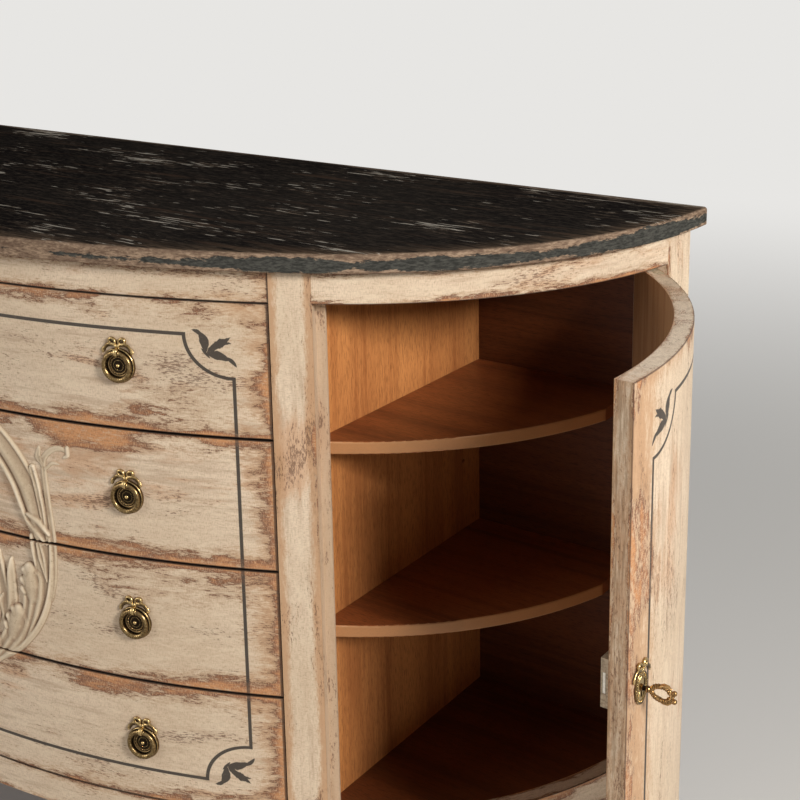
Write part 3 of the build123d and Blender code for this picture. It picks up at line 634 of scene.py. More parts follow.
# In the rebate the leg's paint is greyed darker as painted shade.
leg_paint = cream_paint("leg paint", (leg_along, turn_along), upright=True, wear=-0.20, side_reach=0.015,
                        edge_stain=1.1, rebate=True)
wear_finish(leg_paint, "left_front_leg", "right_front_leg")
rear_leg_wide = 0.066
rear_along = turn_along + end_radius * (pi / 2 - turn) - rear_leg_wide
rear_paint = cream_paint("rear leg paint", (rear_along,), upright=True, wear=-0.04, side_reach=0.012)
wear_finish(rear_paint, "left_rear_leg", "right_rear_leg")
print("painted the rails at", ", ".join(f"{z:.3f}" for z in rail_levels), "m")

# %% [markdown]
# The doors are brushed upright. The right door stands open, and its recipe first turns the coordinates
# back to where the door was when shut, so its border and its brush marks stay with it as it swings.

# %% Paint the doors
door_low, door_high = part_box("left_door")
door_gap = 0.002
door_from_wall = 0.0695
door_margin = 0.045
latch_stain = 0.03
door_start = turn_along + door_gap
door_end = turn_along + end_radius * (pi / 2 - asin(door_from_wall / end_radius) - turn)
door_panel = ((door_end - door_start) / 2 - door_margin, (door_start + door_end) / 2, *case_panel[2:])
for side in side_names:
    finish = cream_paint(
        f"{side} door paint", (door_start, door_end), (door_low.z, door_high.z), upright=True, wear=-0.05,
        opened=side == "right", panel=door_panel, side_reach=0.09, inside=door_inside,
        start_stain=door_start + latch_stain,
    )
    wear_finish(finish, f"{side}_door")
print(f"painted doors {door_end - door_start:.3f} m round the curve")

# %% [markdown]
# The top is nearly black. Pale flakes and scratches run along it, with dim brown smears between them,
# and it is rubbed towards its rim and its back. Each mark is noise drawn out along the slab, and a slow
# noise, the zones, gathers the marks in clusters as wear does.

# %% Marks on the slab
slab_finish, r = new_finish("slab paint")
spot, along, inset, height = front_coordinates(r)
rim = inset + slab_overhang
flat = r.value("TexCoord", output="Object")


def grain_cloud(long_share, scale, detail, rough, bend=0.0):
    """Noise on the slab, drawn out along it."""
    return r.cloud(r.stretch(flat, (long_share, 1.0, 1.0)), scale, detail, rough, bend)


broad = r.cloud(flat, 3.0, 3.0, 0.5)
zones = grain_cloud(0.4, 13.0, 3.0, 0.6)
scratch = grain_cloud(0.12, 190.0, 4.0, 0.72, 0.25)
thin = grain_cloud(0.10, 210.0, 2.0, 0.5, 0.2)
fine = grain_cloud(0.12, 560.0, 3.0, 0.65)
longer = grain_cloud(0.045, 230.0, 2.0, 0.6, 0.1)
smear = grain_cloud(0.08, 62.0, 4.0, 0.65, 0.2)
near_rim = (1.0 - rim / 0.045).clamped()
near_back = (1.0 - (wall_y - r.parts(flat)[1]) / 0.02).clamped() + (zones - 0.5) * 1.6
scraped = scratch - 0.5 + (zones - 0.5) * 0.55 + (fine - 0.5) * 0.35 + near_rim * 0.03
hair = r.most(thin, longer - 0.02) - 0.5 + (zones - 0.5) * 0.62 + (scratch - 0.5) * 0.22
flake = r.step(hair, 0.205, 0.230)
bare = r.most(r.step(scraped, 0.165, 0.225), flake)
print("marked the slab with", len(slab_finish.node_tree.nodes), "nodes")

# %% [markdown]
# Black paint that has aged turns warm where it is thin and grey where it is scratched. The colours are
# laid from the dimmest mark to the brightest, so that a pale flake is never dulled by the smear beneath.

# %% Colours of the top
rim_wear = near_rim * near_rim * r.step(scratch, 0.34, 0.6)
black = r.coats(
    colour(24, 22, 22),
    (broad, 0.35, 0.65, 1.0, colour(36, 33, 31)),
    (scratch, 0.50, 0.64, 0.60, colour(60, 53, 47)),
    (fine, 0.50, 0.66, 0.60, colour(74, 67, 60)),
    (scraped, 0.03, 0.18, 0.42, colour(74, 63, 54)),
    (smear, 0.56, 0.68, 0.42, colour(84, 66, 54)),
)
black = r.blend(rim_wear * 0.75, black, colour(108, 90, 74))
black = r.coats(black, (near_back, 0.45, 0.8, 0.9, colour(112, 97, 84)))
scraped_tone = r.coats(colour(82, 70, 60), (fine, 0.35, 0.65, 1.0, colour(128, 114, 100)))
flake_tone = r.coats(colour(122, 114, 103), (fine, 0.30, 0.60, 1.0, colour(190, 183, 171)))
top_colour = r.blend(flake, r.blend(bare, black, scraped_tone), flake_tone)
print("mixed the black with", len(slab_finish.node_tree.nodes), "nodes so far")

# %% [markdown]
# The slab's edge band is slate green, and its two arrises are rubbed back to a beige ground. Towards the
# middle of the front, where people lean and set things down, the beige takes over. The camera looks down
# on the edge, so its upper arris is given a little more of the beige.

# %% Colours of the edge band
rim_skin = 0.0034
top_rub = 0.0022
edge_brush = r.stretch(spot, (0.3, 1.0, 1.0))
edge_noise = r.cloud(edge_brush, 105.0, 6.0, 0.72, 0.4)
edge_fine = r.cloud(edge_brush, 480.0, 4.0, 0.65)
edge_broad = r.cloud(spot, 6.5, 3.0, 0.6)
mid_edge = (slab_low.z + slab_high.z) / 2 - top_rub
half_edge = (slab_high.z - slab_low.z) / 2
leaned_on = 1.0 - r.step(along, 0.26, 0.56)
rubbed_edge = abs(height - mid_edge) / half_edge + (edge_noise - 0.5) * 1.6 + (edge_fine - 0.5) * 0.5
rubbed_edge = rubbed_edge + (edge_broad - 0.5) * 2.0 + leaned_on * 0.42 - r.step(along, 0.5, 0.75) * 0.14
beige = r.coats(colour(112, 92, 77), (edge_fine, 0.35, 0.65, 1.0, colour(160, 137, 115)),
                (edge_noise, 0.56, 0.42, 0.6, colour(98, 79, 66)))
slate = r.coats(colour(52, 52, 49), (edge_fine, 0.35, 0.65, 1.0, colour(80, 79, 74)))
edge_colour = r.coats(slate, (rubbed_edge, 0.46, 0.60, 1.0, beige))
slab_colour = r.coats(top_colour, (rim_skin - rim, 0.0, 0.0028, 1.0, edge_colour))
relief = scratch * 0.6 + fine * 0.4 - bare * 0.4
dress(r, slab_colour, r.between(bare, 0.62, 0.75), relief, 0.4, 0.0007, specular=0.0)
wear_finish(slab_finish, "top_slab")
print("painted the slab")

# %% [markdown]
# Inside, the cupboards are lined with a warm red-brown veneer. Its grain is noise that is stretched very
# long one way: broad bands of colour, and fine short pores. The divider's grain stands upright, while the
# shelves and the back lie level, so each piece names the direction that its grain runs. A shelf's front
# edge is lipped with paler wood. The shelves and the back are coloured darker than the divider, as painted
# shade for the shade they lie in.

# %% Veneer
shelf_setback = 0.0302


def veneer(name, direction, pale, dark, pore, lipping=None, sheen=0.38):
    """Wood whose grain runs along X (0), Y (1) or Z (2)."""
    finish, r = new_finish(name)
    spot = r.value("TexCoord", output="Object")
    long_way = r.stretch(spot, tuple(0.035 if axis == direction else 1.0 for axis in range(3)))
    short_way = r.stretch(spot, tuple(0.09 if axis == direction else 1.0 for axis in range(3)))
    bands = r.cloud(long_way, 22.0, 4.0, 0.55, 0.6)
    figure = r.cloud(long_way, 130.0, 4.0, 0.6, 0.3)
    pores = r.cloud(short_way, 900.0, 3.0, 0.6)
    wood = r.coats(dark, (bands, 0.32, 0.68, 1.0, pale), (figure, 0.4, 0.64, 0.6, pale),
                   (pores, 0.5, 0.64, 0.6, pore))
    if lipping:
        wood = r.blend((front_coordinates(r)[2] < shelf_setback) * 0.66, wood, lipping)
    dress(r, wood, r.between(pores, sheen - 0.05, sheen + 0.12), pores + figure, 0.2, 0.0003, specular=0.28)
    return finish


divider_wood = veneer("divider veneer", 2, colour(202, 136, 79), colour(164, 101, 56), colour(124, 72, 38))
# Painted shade: the shelves and the back are coloured darker than the divider.
shaded_shelf_wood = veneer("shaded shelf veneer", 0, colour(148, 83, 44), colour(108, 57, 30), colour(78, 40, 21),
                    lipping=colour(194, 142, 94))
shaded_back_wood = veneer("shaded back veneer", 0, colour(108, 58, 30), colour(78, 40, 20), colour(54, 28, 14))
plain_wood = veneer("drawer wood", 0, colour(188, 146, 96), colour(160, 116, 72), colour(122, 86, 52),
                    sheen=0.6)
for side in side_names:
    wear_finish(divider_wood, f"{side}_divider")
    wear_finish(shaded_shelf_wood, f"{side}_upper_shelf", f"{side}_lower_shelf")
wear_finish(shaded_back_wood, "back_panel", "back_top_rail", "bottom_board")
wear_finish(plain_wood, "drawer_runners", *(f"drawer_{number}_box" for number in drawer_numbers))
print("lined both cupboards")

# %% [markdown]
# Metal that is not worked further in this lesson takes one recipe with four tempers: dark gold brass,
# pale worn hinges, a warm grey lock case and a bright bolt. The castings that stand in for the pulls
# and keys come later, with a richer finish of their own.


# %% Brass and steel
def plain_metal(name, bright, dark, rough, metallic=1.0):
    """Metal with darker stains and a fine grit."""
    finish, r = new_finish(name)
    spot = r.value("TexCoord", output="Object")
    stain = r.cloud(spot, 260.0, 4.0, 0.6)
    grit = r.cloud(spot, 1400.0, 3.0, 0.6)
    tone = r.coats(dark, (stain, 0.35, 0.62, 1.0, bright))
    dress(r, tone, r.between(grit, rough - 0.1, rough + 0.15), stain + grit, 0.25, 0.0002, metallic=metallic)
    return finish


aged_brass = plain_metal("aged brass", colour(190, 158, 96), colour(92, 70, 40), 0.36)
hinge_brass = plain_metal("hinge brass", colour(202, 188, 162), colour(158, 140, 112), 0.6, metallic=0.35)
lock_steel = plain_metal("lock steel", colour(178, 160, 138), colour(146, 128, 108), 0.5)
bolt_steel = plain_metal("bolt steel", colour(238, 232, 220), colour(222, 214, 200), 0.3)
brass_nodes = [name for name in nodes if name.endswith(("_ring", "_pull_plates", "_escutcheon", "_key"))]
wear_finish(aged_brass, *brass_nodes)
wear_finish(hinge_brass, "frame_hinge_leaves", "shelf_pins")
for side in side_names:
    wear_finish(hinge_brass, f"{side}_door_hinge_leaves")
    wear_finish(lock_steel, f"{side}_lock_case")
    wear_finish(bolt_steel, f"{side}_lock_bolt")
print("gave", len(brass_nodes), "brass pieces their metal")

# %% [markdown]
# The pulls, keys and keyhole plates are small castings. They could be sculpted, but a metal worker's two
# ways are enough and keep every edge crisp. The first is turning: a profile is spun about an axis. All
# castings are worked in millimetres about their own middle, with X along the front, Y up and Z towards
# the hand.


# %% Turn a profile
def turned(mesh, profile, steps=56):
    """Spins a profile of (radius, height) pairs about Z."""
    points = [mesh.verts.new((radius, 0, height)) for radius, height in profile]
    edges = [mesh.edges.new(pair) for pair in zip(points, points[1:])]
    bmesh.ops.spin(
        mesh, geom=points + edges, axis=(0, 0, 1), cent=(0, 0, 0), steps=steps, angle=2 * pi, use_merge=True
    )
    bmesh.ops.remove_doubles(mesh, verts=mesh.verts, dist=0.01)


def bead_row(mesh, apart, half_x, half_y, height, radius):
    """Small balls round an ellipse, a number of degrees apart."""
    for degree in range(0, 360, apart):
        at = (half_x * cos(radians(degree)), half_y * sin(radians(degree)), height)
        bmesh.ops.create_icosphere(mesh, subdivisions=1, radius=radius, matrix=Matrix.Translation(at))


# %% [markdown]
# The second way is drawing a rod along a path. A curve object with a bevel would do it too, but its
# section stays round and of one width. Here a ring of points is extruded from station to station, and at
# each it may be as wide and as deep as wire, ribbon or leaf asks.


# %% Draw a rod
def station(path, index, closed):
    """Matrix that stands a ring of points across a path at one of its points."""
    last = len(path) - 1
    before = path[index - 1] if index or closed else path[0]
    after = path[(index + 1) % len(path)] if index < last or closed else path[last]
    ahead = (after - before).normalized()
    side = Vector((0, 0, 1)).cross(ahead)
    side = side.normalized() if side.length > 0.01 else Vector((1, 0, 0))
    return Matrix.Translation(path[index]) @ Matrix((side, ahead.cross(side), ahead)).transposed().to_4x4()


def spread(values, count):
    """A few values, spread evenly over a number of places."""
    return np.interp(np.linspace(0, 1, count), np.linspace(0, 1, len(values)), values)


def rod(mesh, points, wide, deep, closed=False, sides=12):
    """A rod along a path, with a half width beside it and a half depth towards the hand at each point."""
    path = [Vector((*point, 0.0)[:3]) for point in points]
    count = len(path)
    sizes = zip(spread(wide, count), spread(deep, count))
    place = [station(path, i, closed) @ Matrix.Diagonal((*size, 1, 1)) for i, size in enumerate(sizes)]
    ring = bmesh.ops.create_circle(mesh, segments=sides, radius=1, matrix=place[0])["verts"]
    edges = {edge for vert in ring for edge in vert.link_edges}
    first = list(edges)
    for here, there in zip(place, place[1:]):
        grown = bmesh.ops.extrude_edge_only(mesh, edges=list(edges))["geom"]
        ring = [part for part in grown if isinstance(part, bmesh.types.BMVert)]
        edges = [part for part in grown if isinstance(part, bmesh.types.BMEdge)]
        bmesh.ops.transform(mesh, matrix=there @ here.inverted(), verts=ring)
    if closed:
        bmesh.ops.bridge_loops(mesh, edges=first + list(edges))
    else:
        bmesh.ops.edgeloop_fill(mesh, edges=first)
        bmesh.ops.edgeloop_fill(mesh, edges=list(edges))


def round_path(centre, half_x, half_y, turn_by=0.0, count=20, start=0.0, sweep=360.0, z=0.0):
    """Points round an ellipse, in degrees."""
    found = []
    tilt = radians(turn_by)
    for step in range(count):
        angle = radians(start + sweep * step / (count if sweep == 360 else count - 1))
        x, y = half_x * cos(angle), half_y * sin(angle)
        x, y = x * cos(tilt) - y * sin(tilt), x * sin(tilt) + y * cos(tilt)
        found.append((centre[0] + x, centre[1] + y, z))
    return found


# %% [markdown]
# A casting is finished by standing it on the front. One matrix does it: it turns the casting to face
# straight out of the curve, brings millimetres to metres, and on the open door it swings with the door.


# %% Stand a casting on the front
def on_front(along, z, door=None):
    """Matrix from a casting's own millimetres to its place on the front, or on a door where it stands."""
    angle = min(abs(along) / bow_radius, turn)
    if abs(along) > turn_along:
        angle = turn + (abs(along) - turn_along) / end_radius
    angle = angle if along > 0 else -angle
    axes = Matrix(((cos(angle), 0, sin(angle)), (sin(angle), 0, -cos(angle)), (0, 1, 0))).to_4x4()
    matrix = Matrix.Translation(front_place(along, z)) @ axes @ Matrix.Scale(0.001, 4)
    if door == "right":
        swing = joints["right_door_swing"]
        pivot = Vector(swing["pos_m"])
        opened = Matrix.Rotation(-radians(swing["range_deg"][0]), 4, "Z")
        matrix = Matrix.Translation(pivot) @ opened @ Matrix.Translation(-pivot) @ matrix
    return matrix


# %% [markdown]
# Brass darkens in its hollows and stays bright where it is touched. How hollow a point is follows from
# its neighbours: if they stand higher than it does, it is in a hollow. That number is kept on the mesh as
# an attribute, so a finish can read it and it moves with the piece.

# %% Mark the hollows
hollow_contrast = 1.6


def mark_hollows(mesh, reach=2):
    """Keeps on each point how far it stands proud (1) or lies in a hollow (0)."""
    if "proud" in mesh.verts.layers.float:
        return
    layer = mesh.verts.layers.float.new("proud")
    beside = {vert: [edge.other_vert(vert) for edge in vert.link_edges] for vert in mesh.verts}
    proud = {}
    for vert, others in beside.items():
        middle = sum((other.co for other in others), Vector()) / max(len(others), 1)
        spacing = sum((other.co - vert.co).length for other in others) / max(len(others), 1)
        proud[vert] = (vert.co - middle).dot(vert.normal) / max(spacing, 1e-6)
    for _ in range(reach):
        proud = {
            vert: 0.5 * proud[vert] + 0.5 * sum(proud[other] for other in others) / len(others)
            for vert, others in beside.items()
        }
    for vert in mesh.verts:
        vert[layer] = min(max(0.5 + hollow_contrast * proud[vert], 0.0), 1.0)


# %% [markdown]
# The castings replace the plainer solids that the joinery came with. Each says which body it rides on,
# so that a pull leaves with its drawer. Sharp edges are found by their angle and the rest is smoothed.

# %% Finish a casting
sharp_angle = radians(50)


def casting(name, mesh, places, finish, body, slot, *replaced):
    """Seats copies of a casting, and hands them over as one piece that rides on a body."""
    bmesh.ops.recalc_face_normals(mesh, faces=mesh.faces)
    mesh.normal_update()
    mark_hollows(mesh)
    whole = bmesh.new()
    for place in places:
        data = bpy.data.meshes.new("seated")
        mesh.to_mesh(data)
        data.transform(place)
        if place.determinant() < 0:
            data.flip_normals()
        whole.from_mesh(data)
        bpy.data.meshes.remove(data)
    for face in whole.faces:
        face.smooth = True
    for edge in whole.edges:
        edge.smooth = edge.calc_face_angle(0) < sharp_angle
    data = bpy.data.meshes.new(name)
    whole.to_mesh(data)
    whole.free()
    data.materials.append(finish)
    piece = add_object(name, data)
    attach(piece, body)
    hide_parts(*replaced)


# %% [markdown]
# The brass itself: a warm gold where the metal stands proud, through brown, to nearly black in the
# hollows. The same attribute makes the hollows rough and the rubbed parts smooth.


# %% Cast brass
def cast_finish(name, hollow_tone, body_tone, rubbed_tone):
    """Cast metal that reads how proud each point stands."""
    finish, r = new_finish(name)
    stain = r.cloud(r.value("TexCoord", output="Object"), 420.0, 4.0, 0.6)
    worn = r.value("Attribute", output="Fac", attribute_name="proud") + (stain - 0.5) * 0.55
    tone = r.coats(hollow_tone, (worn, 0.32, 0.56, 1.0, body_tone), (worn, 0.58, 0.88, 1.0, rubbed_tone))
    dress(r, tone, r.between(r.step(worn, 0.3, 0.75), 0.55, 0.24), stain, 0.3, 0.0003, metallic=1.0)
    return finish


cast_brass = cast_finish("cast brass", colour(40, 31, 22), colour(104, 83, 54), colour(186, 160, 112))
key_bronze = cast_finish("key bronze", colour(34, 24, 17), colour(92, 66, 40), colour(180, 142, 94))
print("mixed", cast_brass.name, "and", key_bronze.name)

# %% [markdown]
# Above each pull, and above each keyhole, a ribbon is tied in a bow with two round loops and two forked
# tails. Its strands are rods whose width follows the ribbon as it turns. One helper ties both sizes.


# %% Tie a bow
def tie_bow(mesh, rise, size=1.0):
    """A ribbon bow about a knot that stands a distance above the casting's middle."""
    def strand(points, wide, deep, side=1, tip=()):
        path = [(side * x * size, rise + y * size, z) for x, y, z in points]
        rod(mesh, path, [*(part * size for part in wide), *tip], deep)

    for side in (-1, 1):
        middle = (side * 6.3 * size, rise + 5.4 * size)
        loop = round_path(middle, 4.3 * size, 3.5 * size, side * 38, count=18, z=2.0)
        rod(mesh, loop, (1.75 * size,), (2.1,), closed=True, sides=10)
        tail = ((1.5, 0.4, 2.4), (5, 2.0, 2.7), (9.5, 2.2, 2.4), (13.5, 0.2, 1.9), (16.5, -3.2, 1.7),
                (18.6, -7.0, 2.1), (19.6, -9.6, 1.6))
        strand(tail, (1.7, 2.1, 2.4, 2.5, 2.2, 2.3), (1.7, 1.4, 1.3, 1.4, 1.1), side, tip=(0.8,))
        fork = ((15.2, -1.6, 1.6), (18.4, -3.6, 2.0), (21.0, -7.4, 1.8))
        strand(fork, (1.6, 1.5), (1.0, 1.1, 0.8), side, tip=(0.5,))
    knot = ((-2.6, 0, 2.4), (-1.6, 0, 3.0), (0, 0, 3.3), (1.6, 0, 3.0), (2.6, 0, 2.4))
    strand(knot, (1.6, 2.7, 2.2, 2.7, 1.6), (1.2, 1.7, 1.5, 1.7, 1.2))


# %% [markdown]
# A pull has a turned back plate: a rolled rim, a deep channel that the ring lies in, two rows of beads,
# and a small stud in the middle of a dark sunk disc. The ring's eye stands in front of the plate, and a
# post with a nut goes back through the drawer.

# %% Back plate
plate_profile = (
    (0.0, 5.0), (1.4, 4.8), (2.4, 3.9), (2.7, 2.9), (2.2, 2.2), (3.2, 1.7), (8.8, 1.5), (9.4, 1.6),
    (9.8, 2.0), (10.3, 2.1), (10.7, 1.8), (11.2, 1.6), (11.8, 1.8), (12.4, 2.5), (12.9, 2.7), (13.4, 2.3),
    (13.8, 1.7), (15.2, 1.4), (18.2, 1.3), (19.0, 1.8), (19.5, 2.9), (20.3, 3.5), (21.1, 3.1), (21.5, 2.0),
    (21.5, 0.0),
)
post_profile = ((0.0, 0.0), (2.45, 0.0), (2.45, -24.6), (2.0, -25.0), (0.0, -25.0))
nut_profile = ((2.5, -20.05), (4.9, -20.05), (5.2, -20.4), (5.2, -23.6), (4.9, -24.0), (2.5, -24.0))
eye_ends = (-2.9, -2.6, -1.9, 1.9, 2.6, 2.9)
plate = bmesh.new()
turned(plate, plate_profile)
bead_row(plate, 20, 10.35, 10.35, 2.2, 0.75)
bead_row(plate, 15, 6.4, 6.4, 1.5, 0.55)
tie_bow(plate, 24.0)
rod(plate, [(x, 17.0, 5.8) for x in eye_ends], (1.6, 4.4, 5.2, 5.2, 4.4, 1.6),
    (1.4, 3.4, 4.2, 4.2, 3.4, 1.4), sides=16)
rod(plate, [(0, 18.0, 1.0), (0, 19.0, 2.0), (0, 21.5, 2.0), (0, 24.0, 1.4)], (3.0, 3.2, 2.8, 2.2),
    (1.0, 1.4, 1.4, 1.0))
turned(plate, post_profile, steps=16)
turned(plate, nut_profile, steps=6)
print("a back plate has", len(plate.verts), "points")

# %% [markdown]
# The ring is thicker at its sides than at the eye, and a flat band of leaf ornament is chased into its
# lower half. It is one rod whose width and depth change round it, with the chasing pressed into its front.

# %% Ring
ring_turns = 96
ring_radius = 16.9
chased_half = radians(62)
chased_leaves = 38
ring = bmesh.new()
fat = 2.65 + 0.75 * np.sin(np.pi * np.arange(ring_turns) / ring_turns) ** 2
ring_points = round_path((0, 0), ring_radius, ring_radius, start=90, count=ring_turns, z=6.0)
rod(ring, ring_points, tuple(fat), tuple(fat * 0.94), closed=True, sides=16)
for vert in ring.verts:
    angle = atan2(vert.co.x, -vert.co.y)
    if vert.co.z > 6.2 and abs(angle) < chased_half:
        fade = 1 - (abs(angle) / chased_half) ** 4
        slant = 0.9 * abs(hypot(vert.co.x, vert.co.y) - ring_radius) * (1 if angle > 0 else -1)
        ridge = 0.5 + 0.5 * cos(angle * chased_leaves + slant)
        vert.co.z -= 0.75 * fade * (1 - ridge)
for x in (-4.185, 4.185):
    tilt = Matrix.Translation((x, 16.3, 6.0)) @ Matrix.Rotation(radians(90), 4, "Y")
    bmesh.ops.create_uvsphere(ring, u_segments=14, v_segments=8, radius=1.0,
                              matrix=tilt @ Matrix.Diagonal((3.0, 3.2, 0.9, 1.0)))
print("a ring has", len(ring.verts), "points")

# %% [markdown]
# Each drawer carries two pulls. The joinery's own rings say how far along they hang. The plates stay on
# the drawer, and each ring is a piece by itself, because it swings.

# %% Hang the pulls
ring_drop = 0.0035
for number in drawer_numbers:
    places = {}
    for side in side_names:
        low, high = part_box(f"drawer_{number}_{side}_ring")
        lean = asin(((low.x + high.x) / 2 - middle_x) / (bow_radius + 0.006))
        places[side] = on_front(bow_radius * lean, frieze_bottom - (number - 0.5) * drawer_pitch - ring_drop)
    casting(f"drawer_{number}_plates_and_bows", plate, places.values(), cast_brass,
            f"drawer_{number}", "aged_brass", f"drawer_{number}_pull_plates")
    for side in side_names:
        casting(f"drawer_{number}_{side}_chased_ring", ring, [places[side]], cast_brass,
                f"drawer_{number}_{side}_ring", "aged_brass", f"drawer_{number}_{side}_ring")
print("hung", 2 * number, "pulls")

# %% [markdown]
# The keyhole plate is an oval with a rolled rim and a beaded edge, under the same ribbon bow. Its field
# is a flat sheet with a keyhole cut in it. Two outlines are drawn, the oval and the keyhole, and Blender
# fills what lies between them, which saves working out a face for a shape with a hole.

# %% Keyhole plate
plate_half = (12.5, 18.0)
field_height = 1.7
keyhole_edge = round_path((0, 0), 2.7, 2.7, count=18, start=-48, sweep=276)
keyhole_edge += [(-1.7, -4.0, 0.0), (-1.7, -11.0, 0.0), (1.7, -11.0, 0.0), (1.7, -4.0, 0.0)]
shield = bmesh.new()
rod(shield, round_path((0, 0), 12.2, 17.6, count=48, z=1.2), (1.1,), (1.3,), closed=True, sides=10)
rod(shield, round_path((0, 0), 9.2, 14.2, count=48, z=1.2), (0.5,), (0.9,), closed=True, sides=8)
outlines = []
for points in (round_path((0, 0), *plate_half, count=48), keyhole_edge):
    corners = [shield.verts.new((x, y, field_height)) for x, y, _ in points]
    outlines += [shield.edges.new(pair) for pair in zip(corners, corners[1:] + corners[:1])]
field = bmesh.ops.triangle_fill(shield, edges=outlines, use_beauty=True, normal=(0, 0, 1))["geom"]
field_faces = [part for part in field if isinstance(part, bmesh.types.BMFace)]
sunk = bmesh.ops.extrude_face_region(shield, geom=field_faces)["geom"]
sunk_points = [part for part in sunk if isinstance(part, bmesh.types.BMVert)]
bmesh.ops.translate(shield, vec=(0, 0, -field_height), verts=sunk_points)
rod(shield, keyhole_edge, (0.55,), (1.9,), closed=True, sides=8)
print("the field has", len(field_faces), "faces round the keyhole")

# %% [markdown]
# On the field the leaves are chased in pairs, one each side of the keyhole. Each is a short rod that
# swells in the middle. The beads stand between the two rims, and the bow is tied above.

# %% Chase the keyhole plate
tie_bow(shield, 20.0, 0.9)
bead_row(shield, 10, 10.7, 15.8, 1.9, 0.7)
chased_leaf_lines = (
    ((4.6, 11.0), (7.6, 6.5), (7.4, 1.0), (5.2, -2.5)),
    ((4.4, -4.0), (6.8, -7.0), (5.4, -10.8), (2.8, -13.2)),
    ((1.2, 12.6), (3.4, 10.0), (4.8, 6.6)),
    ((7.9, -0.5), (8.4, -3.2), (7.2, -5.4)),
)
for side in (-1, 1):
    for line in chased_leaf_lines:
        path = [(side * x, y, 1.8) for x, y in line]
        rod(shield, path, (0.4, 0.95, 0.9, 0.3), (0.5, 1.0, 0.9, 0.4), sides=8)
print("a keyhole plate has", len(shield.verts), "points")

# %% [markdown]
# The key's shaft is turned with collars, and a bit with softened edges stands at its end.

# %% Key shaft
shaft_profile = (
    (0.0, -29.5), (1.8, -29.5), (2.4, -29.0), (2.4, 1.8), (3.6, 2.2), (3.6, 3.4), (2.5, 4.0), (2.3, 7.4),
    (3.7, 8.0), (3.7, 9.2), (2.8, 9.8), (3.3, 10.5), (2.6, 11.4), (1.6, 12.6), (0.0, 12.8),
)
bit_size = (2.0, 8.6, 4.2, 1)
key = bmesh.new()
turned(key, shaft_profile, steps=24)
bit_place = Matrix.Translation((0, -5.2, -27.4)) @ Matrix.Diagonal(bit_size)
bit = bmesh.ops.create_cube(key, size=1, matrix=bit_place)["verts"]
bit_edges = list({edge for vert in bit for edge in vert.link_edges})
bmesh.ops.bevel(key, geom=bit_edges, offset=0.4, segments=2, profile=0.5, affect="EDGES", material=-1)
print("a shaft has", len(key.verts), "points")

# %% [markdown]
# The key's bow is an oval of twisted rope with a leaf at each side and two small balls at the end. It
# stands edge-on to the door, but the rod helper keeps its depth towards the hand, which suits a flat bow.
# So the oval is drawn flat, and then stood up.

# %% Key bow
bow_reach = 24.0
bow_half = (11.0, 7.6)
rope_points = 72
rope_turns = 24
key_bow = bmesh.new()
rounds = [2 * pi * i / rope_points for i in range(rope_points)]
twist = tuple(2.45 + 0.36 * np.cos(np.linspace(0, 2 * np.pi * rope_turns, rope_points)))
oval = [(bow_half[0] * sin(at), bow_half[1] * cos(at), 0.0) for at in rounds]
rod(key_bow, oval, twist, twist, closed=True)
for side in (-1, 1):
    leaf_line = [(-9.5, side * 3.0, 0), (-4, side * 6.2, 0.3), (2, side * 8.6, 0.6), (7, side * 9.0, 0.4),
                 (10.5, side * 7.4, 0)]
    rod(key_bow, leaf_line, (0.8, 2.1, 2.6, 2.0, 0.6), (1.0, 2.8, 3.2, 2.4, 0.8))
    rod(key_bow, round_path((8.5, side * 3.6), 2.4, 2.0, count=12), (0.8,), (1.2,), closed=True, sides=8)
    ball_place = Matrix.Translation((13.6, side * 4.5, 0))
    bmesh.ops.create_uvsphere(key_bow, u_segments=16, v_segments=10, radius=2.9, matrix=ball_place)
stand = Matrix.Translation((0, 0, bow_reach)) @ Matrix(((0, 0, 1), (0, 1, 0), (1, 0, 0))).to_4x4()
data = bpy.data.meshes.new("key bow")
key_bow.to_mesh(data)
data.transform(stand)
key.from_mesh(data)
bpy.data.meshes.remove(data)
print("a key has", len(key.verts), "points")

# %% [markdown]
# Both doors have a keyhole plate and a key half way up. The right ones go where the open door carries
# them. The key is a piece by itself, because it turns in the lock.

# %% Hang the keyhole plates and the keys
key_along = turn_along + 0.029
key_height = (door_low.z + door_high.z) / 2
for side in side_names:
    place = on_front(key_along if side == "right" else -key_along, key_height, side)
    casting(f"{side}_keyhole_plate", shield, [place], cast_brass, f"{side}_door", "aged_brass",
            f"{side}_escutcheon")
    casting(f"{side}_cast_key", key, [place], key_bronze, f"{side}_key", "aged_brass", f"{side}_key")
print(f"keys stand {key_height:.3f} m high")

# %% [markdown]
# The wreath is carved in low relief: long fluted acanthus leaves that sweep up both sides, with rounded
# folds, slender leaves and a curling tendril between them. It could be sculpted by hand, but a carver
# thinks in strokes, so each leaf here is one stroke: a line on the front, a width along it and a section
# across it. The strokes are laid into a height map of the right half, and the left half reads the same
# map mirrored.

# %% Sections of the carver's strokes
carve_cell = 0.8
carve_wide, carve_high = 290, 236
sunk_height = -0.6
columns, rows = np.arange(0, carve_wide, carve_cell), np.arange(-carve_high, carve_high, carve_cell)
carve_x, carve_y = np.meshgrid(columns, rows)
carving = np.full(carve_x.shape, sunk_height)
wreath_middle = (frieze_bottom + front_bottom) / 2 - 0.014

